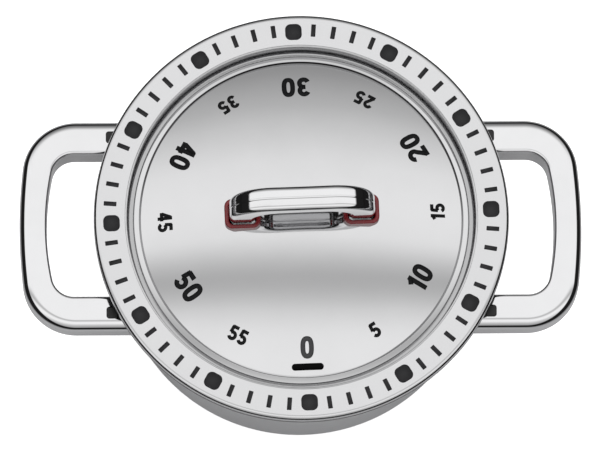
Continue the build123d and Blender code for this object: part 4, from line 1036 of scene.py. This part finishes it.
class TIMER_OT_lid_grip(bpy.types.Operator):
    """Make the lid's plated grip and its two red collars"""

    bl_idname = "timer.lid_grip"
    bl_label = "Lid grip"

    def execute(self, context):
        lid = context.scene.kitchen_timer.lid
        put_piece("lid_grip", self.grip(lid), "chrome", "dial", ["lid_handle"])
        for side, sign in (("left", -1), ("right", 1)):
            put_piece(f"{side}_grip_collar", self.collar(lid, sign), "collar", "dial",
                      [f"{side}_collar"])
        return {"FINISHED"}

    def grip(self, lid):
        """An arch between an outer and an inner outline, narrower at its feet, ending on the dome."""
        half, peak = lid.grip_span / 2, lid.grip_top
        base = lid.flange_low + lid.grip_base
        outlines = []
        for reach, bend, crest in ((half, lid.grip_shoulder, peak),
                                   (half - lid.grip_leg, lid.grip_window, peak - lid.grip_strap)):
            knee = crest - bend
            flat = reach - bend
            rise = np.linspace(base, knee, 12, endpoint=False)
            across = np.linspace(-flat, flat, 7)[1:-1]
            line = np.concatenate([
                np.column_stack([np.full(12, -reach), rise]),
                arc((-flat, knee), bend, 180, 90, 30),
                np.column_stack([across, np.full(len(across), crest)]),
                arc((flat, knee), bend, 90, 0, 30),
                np.column_stack([np.full(12, reach), rise[::-1]]),
            ])
            outlines.append(np.column_stack([line[:, 0], np.zeros(len(line)), line[:, 1]]))
        outer, inner = outlines
        share = np.clip(((outer[:, 2] + inner[:, 2]) / 2 - base) / (peak - base), 0, 1)
        half_width = (lid.grip_foot + (lid.grip_width - lid.grip_foot) * share) / 2
        section = bar_section(lid.grip_edge, lid.grip_edge, 6, lid.grip_seam, lid.seam_width)
        grid = framed_bar(outer, inner, half_width, (0, 1, 0), section)
        knee = peak - lid.grip_shoulder
        lowest = dome_height(grid[..., 0], grid[..., 1], lid)
        lifted = lowest + (grid[..., 2] - base) * (knee - lowest) / (knee - base)
        grid[..., 2] = np.where(grid[..., 2] < knee, lifted, grid[..., 2])
        points, faces = tube(grid)
        return turned(points, lid.turn), faces

    def collar(self, lid, sign):
        """A round-cornered frame about a leg, up the outside, over a round rim and down inside.

        At share s of the way from the outer to the inner outline the rim's height is the top
        less round (1 - sin a), and the lowest points lie on the dome.
        """
        x, corner, rim = lid.grip_span / 2 - lid.grip_leg / 2, lid.collar_corner, lid.collar_round
        outer = round_box(lid.collar_length / 2, lid.collar_width / 2, corner, 8)
        inner = round_box((lid.grip_leg + lid.collar_gap) / 2, lid.collar_width / 2 - lid.collar_wall,
                          corner - lid.collar_fillet, 8)
        gap = np.linalg.norm(inner - outer, axis=-1)[:, None]
        toward = (inner - outer) / gap
        turn = np.linspace(0, np.pi / 2, 5)
        inset = np.concatenate([[0.0], rim * (1 - np.cos(turn))])
        drop = rim * (1 - np.sin(turn))
        rows = [outer + toward * step for step in inset]
        rows += [inner - toward * step for step in inset[::-1]]
        flat = np.stack(rows, axis=1) + np.array([sign * x, 0.0])
        low = dome_height(flat[..., 0], flat[..., 1], lid) - 0.01 * MM
        heights = np.concatenate([[0.0], lid.collar_top - drop, (lid.collar_top - drop)[::-1], [0.0]])
        height = np.where(heights > 0, heights, low)
        grid = np.concatenate([flat, height[..., None]], axis=-1)
        points, faces = tube(grid, closed=True)
        return turned(points, lid.turn), faces


class TIMER_OT_side_handles(bpy.types.Operator):
    """Make the two plated loop handles and their four black pegs"""

    bl_idname = "timer.side_handles"
    bl_label = "Side handles"

    def execute(self, context):
        sizes = context.scene.kitchen_timer.side
        for side, sign in (("left", -1), ("right", 1)):
            put_piece(f"{side}_loop_handle", self.handle(sizes, sign), "chrome", "pot",
                      [f"{side}_handle"])
        put_piece("peg_caps", self.pegs(sizes), "peg", "pot", ["handle_pegs"])
        return {"FINISHED"}

    def loop(self, reach, half_width, corner, bow, start):
        """Half of a D outline, mirrored: a straight leg, a corner arc and a bow about a far centre.

        The corner's centre lies where the distance to the bow's centre is bow - corner, and the
        two arcs meet on the line through both centres.
        """
        bow_x, corner_y = reach - bow, half_width - corner
        corner_x = bow_x + math.sqrt((bow - corner) ** 2 - corner_y**2)
        meet = math.degrees(math.acos((corner_x - bow_x) / (bow - corner)))
        along = np.linspace(start, corner_x, 16, endpoint=False)
        leg = np.column_stack([along, np.full(16, half_width)])
        turn = arc((corner_x, corner_y), corner, 90, meet, 28)
        bowed = arc((bow_x, 0.0), bow, meet, 0, 14)[1:]
        half = np.concatenate([leg, turn, bowed])
        other = half[:-1][::-1] * np.array([1.0, -1.0])
        line = np.concatenate([half, other])
        return np.column_stack([line, np.zeros(len(line))])

    def handle(self, side, sign):
        """A flat bar between the two outlines whose legs end on the pads' cylinder.

        A leg's x is stretched so that its first station lies at the root of root radius squared
        less y squared.
        """
        start, bend = side.pad_start, side.leg_end
        outer = self.loop(side.reach, side.half_width, side.corner, side.bow, start)
        inner = self.loop(side.reach - side.bar, side.half_width - side.leg, side.window_corner,
                          side.window_bow, start)
        half = np.full(len(outer), (side.high - side.low) / 2)
        section = bar_section(side.edge, side.window_edge, 8)
        grid = framed_bar(outer, inner, half, (0, 0, 1), section)
        grid[..., 2] += (side.low + side.high) / 2
        root = np.sqrt(side.root_radius**2 - grid[..., 1] ** 2)
        drawn = root + (grid[..., 0] - start) * (bend - root) / (bend - start)
        grid[..., 0] = np.where(grid[..., 0] < bend, drawn, grid[..., 0])
        points, faces = tube(grid)
        return points * np.array([sign, 1.0, 1.0]), faces

    def pegs(self, side):
        """Four round-cornered square plates standing a little above the handles."""
        square = round_box(side.peg_side / 2, side.peg_side / 2, side.peg_corner, 6)
        return [padded_plate(square + np.array([s * side.peg_x, t * side.peg_y]),
                             side.high - side.peg_root, side.peg_top, side.peg_edge)
                for s, t in CORNERS]


NODE_FINISHES = {
    "plastic": ["inner_case", "base_cap", "dial_carrier"],
    "rubber": ["rubber_feet", "handle_pads"],
    "black_print": ["index_mark"],
    "bell": ["bell"],
    "blued": ["mainspring", "click_spring", "hammer_spring"],
    "brass": ["deck_bush", "bottom_plate", "top_plate", "main_wheel", "second_wheel", "third_wheel",
              "escape_wheel", "anchor", "balance"],
    "screw": ["base_screws", "handle_screws", "lid_screws", "carrier_bolts", "hub_screw", "pillars",
              "pillar_screws", "movement_screws", "bell_screw", "bell_post", "spring_post"],
    "turned": ["dial_arbor", "ratchet_wheel", "click", "click_rivet", "zero_cam", "second_arbor",
               "strike_wheel", "third_arbor", "escape_arbor", "anchor_arbor", "pallet_pins",
               "hammer_arbor", "hammer_arm", "hammer_head", "hammer_pallet", "trip_post",
               "trip_lever"],
}


class TIMER_OT_packed_parts(bpy.types.Operator):
    """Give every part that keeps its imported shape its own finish"""

    bl_idname = "timer.packed_parts"
    bl_label = "Packed parts"

    def execute(self, context):
        done = set()
        for finish, nodes in NODE_FINISHES.items():
            for node in nodes:
                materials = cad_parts[node].data.materials
                materials.clear()
                materials.append(finish_named(finish))
            done.update(nodes)
        left = {n for n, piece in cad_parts.items() if not piece.hide_render} - done
        if left:
            raise RuntimeError(f"parts with no finish: {sorted(left)}")
        return {"FINISHED"}


# How far a direction leans to the back (-1 front, 1 back), and how bright the sky is there.
SOFT_BOXES = [
    (-1.0, 0.25), (-0.7, 0.8), (-0.53, 0.9), (-0.36, 0.87), (-0.25, 0.70), (-0.17, 0.52),
    (-0.10, 0.45), (-0.05, 0.50), (0.01, 0.62), (0.07, 0.77), (0.12, 0.85), (0.3, 0.88),
    (0.46, 0.83), (0.55, 0.74), (0.64, 0.62), (0.71, 0.50), (0.82, 0.36), (1.0, 0.08),
]


class TIMER_OT_studio(bpy.types.Operator):
    """Set the floor, the soft surroundings, the lamp and the camera"""

    bl_idname = "timer.studio"
    bl_label = "Studio"

    def execute(self, context):
        studio = context.scene.kitchen_timer.studio
        self.floor(studio)
        self.surroundings(context, studio)
        self.lamps(context, studio)
        self.camera(context, studio)
        context.scene.view_settings.view_transform = "Standard"
        context.scene.view_settings.look = "None"
        return {"FINISHED"}

    def floor(self, studio):
        """A round sheet: point (i, j) at radius 3 m times (j / rings) squared and angle 2 pi i / spokes."""
        rings, spokes, drop = 12, 96, -0.03 * MM
        reach = 3.0 * (np.arange(1, rings + 1) / rings) ** 2
        a = 2 * np.pi * np.arange(spokes) / spokes
        grid = np.stack([np.cos(a)[:, None] * reach, np.sin(a)[:, None] * reach,
                         np.full((spokes, rings), drop)], axis=-1)
        points = np.concatenate([grid.reshape(-1, 3), [[0.0, 0.0, drop]]])
        ring = np.arange(spokes)
        fan = np.stack([ring * rings, (ring + 1) % spokes * rings, np.full(spokes, spokes * rings)],
                       axis=-1)
        quads = grid_quads(spokes, rings, True, False)[:, ::-1]
        sheet = new_object("floor", points, [quads, fan])
        material, tree, shader = new_finish("Pale floor")
        path = add_node(tree, "LightPath").outputs
        values = {0: object_place(tree)}
        reach = add_node(tree, "VectorMath", values, operation="LENGTH").outputs["Value"]
        far = ranged(tree, reach, studio.floor_near, studio.floor_far)
        mirrored = blended(tree, far, rgba(studio.floor_mirrored), (0.01, 0.01, 0.01, 1.0))
        feed(tree, shader, {
            "Base Color": blended(tree, path["Is Glossy Ray"], rgba(studio.floor), mirrored),
            "Emission Color": rgba(studio.floor),
            "Emission Strength": calculate(tree, "MULTIPLY", path["Is Camera Ray"], studio.floor_glow),
            "Roughness": 0.9,
            "Specular IOR Level": 0.0,
        })
        sheet.data.materials.append(material)

    def surroundings(self, context, studio):
        """Soft boxes as a sky: brightness by how far a direction leans, and dark at the horizon."""
        world = bpy.data.worlds.new("Soft boxes")
        context.scene.world = world
        world.use_nodes = True
        tree = world.node_tree
        tree.nodes.clear()
        way = add_node(tree, "TexCoord").outputs["Generated"]
        axes = add_node(tree, "SeparateXYZ", {0: way}).outputs
        aside = calculate(tree, "MULTIPLY", axes["X"], axes["X"])
        bend = calculate(tree, "MULTIPLY_ADD", aside, 0.45, 1.0)
        lean = calculate(tree, "MULTIPLY", axes["Y"], bend)
        ramp = add_node(tree, "ValToRGB", {0: ranged(tree, lean, -1.0, 1.0)})
        bands = ramp.color_ramp.elements
        bands[0].position, bands[1].position = 0.0, 1.0
        for lean, light in SOFT_BOXES[1:-1]:
            bands.new((lean + 1) / 2)
        for band, (lean, light) in zip(bands, SOFT_BOXES):
            band.position = (lean + 1) / 2
            band.color = (light, light, light, 1.0)
        ramp.color_ramp.interpolation = "B_SPLINE"
        rise = calculate(tree, "MULTIPLY_ADD", aside, -0.42, axes["Z"])
        height = ranged(tree, rise, 0.06, 0.16)
        boxes = blended(tree, height, (0.012, 0.012, 0.012, 1.0), ramp.outputs[0])
        seen = add_node(tree, "LightPath").outputs["Is Camera Ray"]
        sky = blended(tree, seen, boxes, (0.93, 0.93, 0.93, 1.0))
        light = add_node(tree, "Background", {"Color": sky, "Strength": studio.sky})
        add_node(tree, "OutputWorld", {"Surface": light.outputs[0]})

    def lamps(self, context, studio):
        """Wide soft lamps that light the floor and the dull parts and don't show in the metal."""
        for name, place, size, share in (
            ("overhead", (0.1, 0.25, 1.3), 1.4, 0.7), ("front fill", (-0.5, -1.0, 1.0), 1.2, 0.3),
        ):
            data = bpy.data.lights.new(name, "AREA")
            data.shape, data.size = "DISK", size
            data.energy = studio.lamp * share
            lamp = bpy.data.objects.new(name, data)
            context.scene.collection.objects.link(lamp)
            lamp.location = place
            lamp.rotation_euler = (-Vector(place)).to_track_quat("-Z", "Y").to_euler()
            lamp.visible_glossy = False

    def camera(self, context, studio):
        """A long lens on a line through the target: back is (sin a cos e, -cos a cos e, sin e)."""
        a, e = studio.azimuth, studio.elevation
        back = Vector((math.sin(a) * math.cos(e), -math.cos(a) * math.cos(e), math.sin(e)))
        level = Vector((0, 0, 1)).cross(back).normalized()
        upright = back.cross(level)
        right = level * math.cos(studio.roll) + upright * math.sin(studio.roll)
        up = back.cross(right)
        data = bpy.data.cameras.new("camera")
        data.sensor_width = 36.0
        data.lens = studio.lens
        data.clip_start, data.clip_end = 0.05, 50.0
        camera = bpy.data.objects.new("camera", data)
        context.scene.collection.objects.link(camera)
        place = Vector((studio.target_aside, 0, studio.target_height)) + back * studio.distance
        axes = Matrix((right, up, back)).transposed()
        camera.matrix_world = Matrix.Translation(place) @ axes.to_4x4()
        context.scene.camera = camera


OPERATORS = [
    TIMER_OT_pot_shell,
    TIMER_OT_dial_ring,
    TIMER_OT_lid,
    TIMER_OT_lid_grip,
    TIMER_OT_side_handles,
    TIMER_OT_packed_parts,
    TIMER_OT_studio,
]


class TIMER_PT_panel(bpy.types.Panel):
    """Sizes, finishes and pieces of the kitchen timer"""

    bl_label = "Kitchen timer"
    bl_idname = "TIMER_PT_panel"
    bl_space_type = "VIEW_3D"
    bl_region_type = "UI"
    bl_category = "Timer"

    def draw(self, context):
        settings = context.scene.kitchen_timer
        for operator in OPERATORS:
            self.layout.operator(operator.bl_idname)
        for part in ("pot", "lid", "side", "print", "finish", "studio"):
            group = getattr(settings, part)
            box = self.layout.box()
            box.label(text=part.capitalize())
            for key in group.__annotations__:
                box.prop(group, key)


GROUP_CLASSES = [PotSizes, LidSizes, SideHandleSizes, PrintSizes, Finishes, StudioSettings,
                 TimerSettings]


def register():
    """Registers the settings, the operators and the panel."""
    for kind in [*GROUP_CLASSES, *OPERATORS, TIMER_PT_panel]:
        bpy.utils.register_class(kind)
    bpy.types.Scene.kitchen_timer = bpy.props.PointerProperty(
        type=TimerSettings, name="Kitchen timer", description="Sizes and finishes of the timer"
    )


def unregister():
    """Removes everything that register added."""
    del bpy.types.Scene.kitchen_timer
    for kind in reversed([*GROUP_CLASSES, *OPERATORS, TIMER_PT_panel]):
        bpy.utils.unregister_class(kind)


def main():
    register()
    bpy.ops.timer.pot_shell()
    bpy.ops.timer.dial_ring()
    bpy.ops.timer.lid()
    bpy.ops.timer.lid_grip()
    bpy.ops.timer.side_handles()
    bpy.ops.timer.packed_parts()
    bpy.ops.timer.studio()


if __name__ == "__main__":
    main()
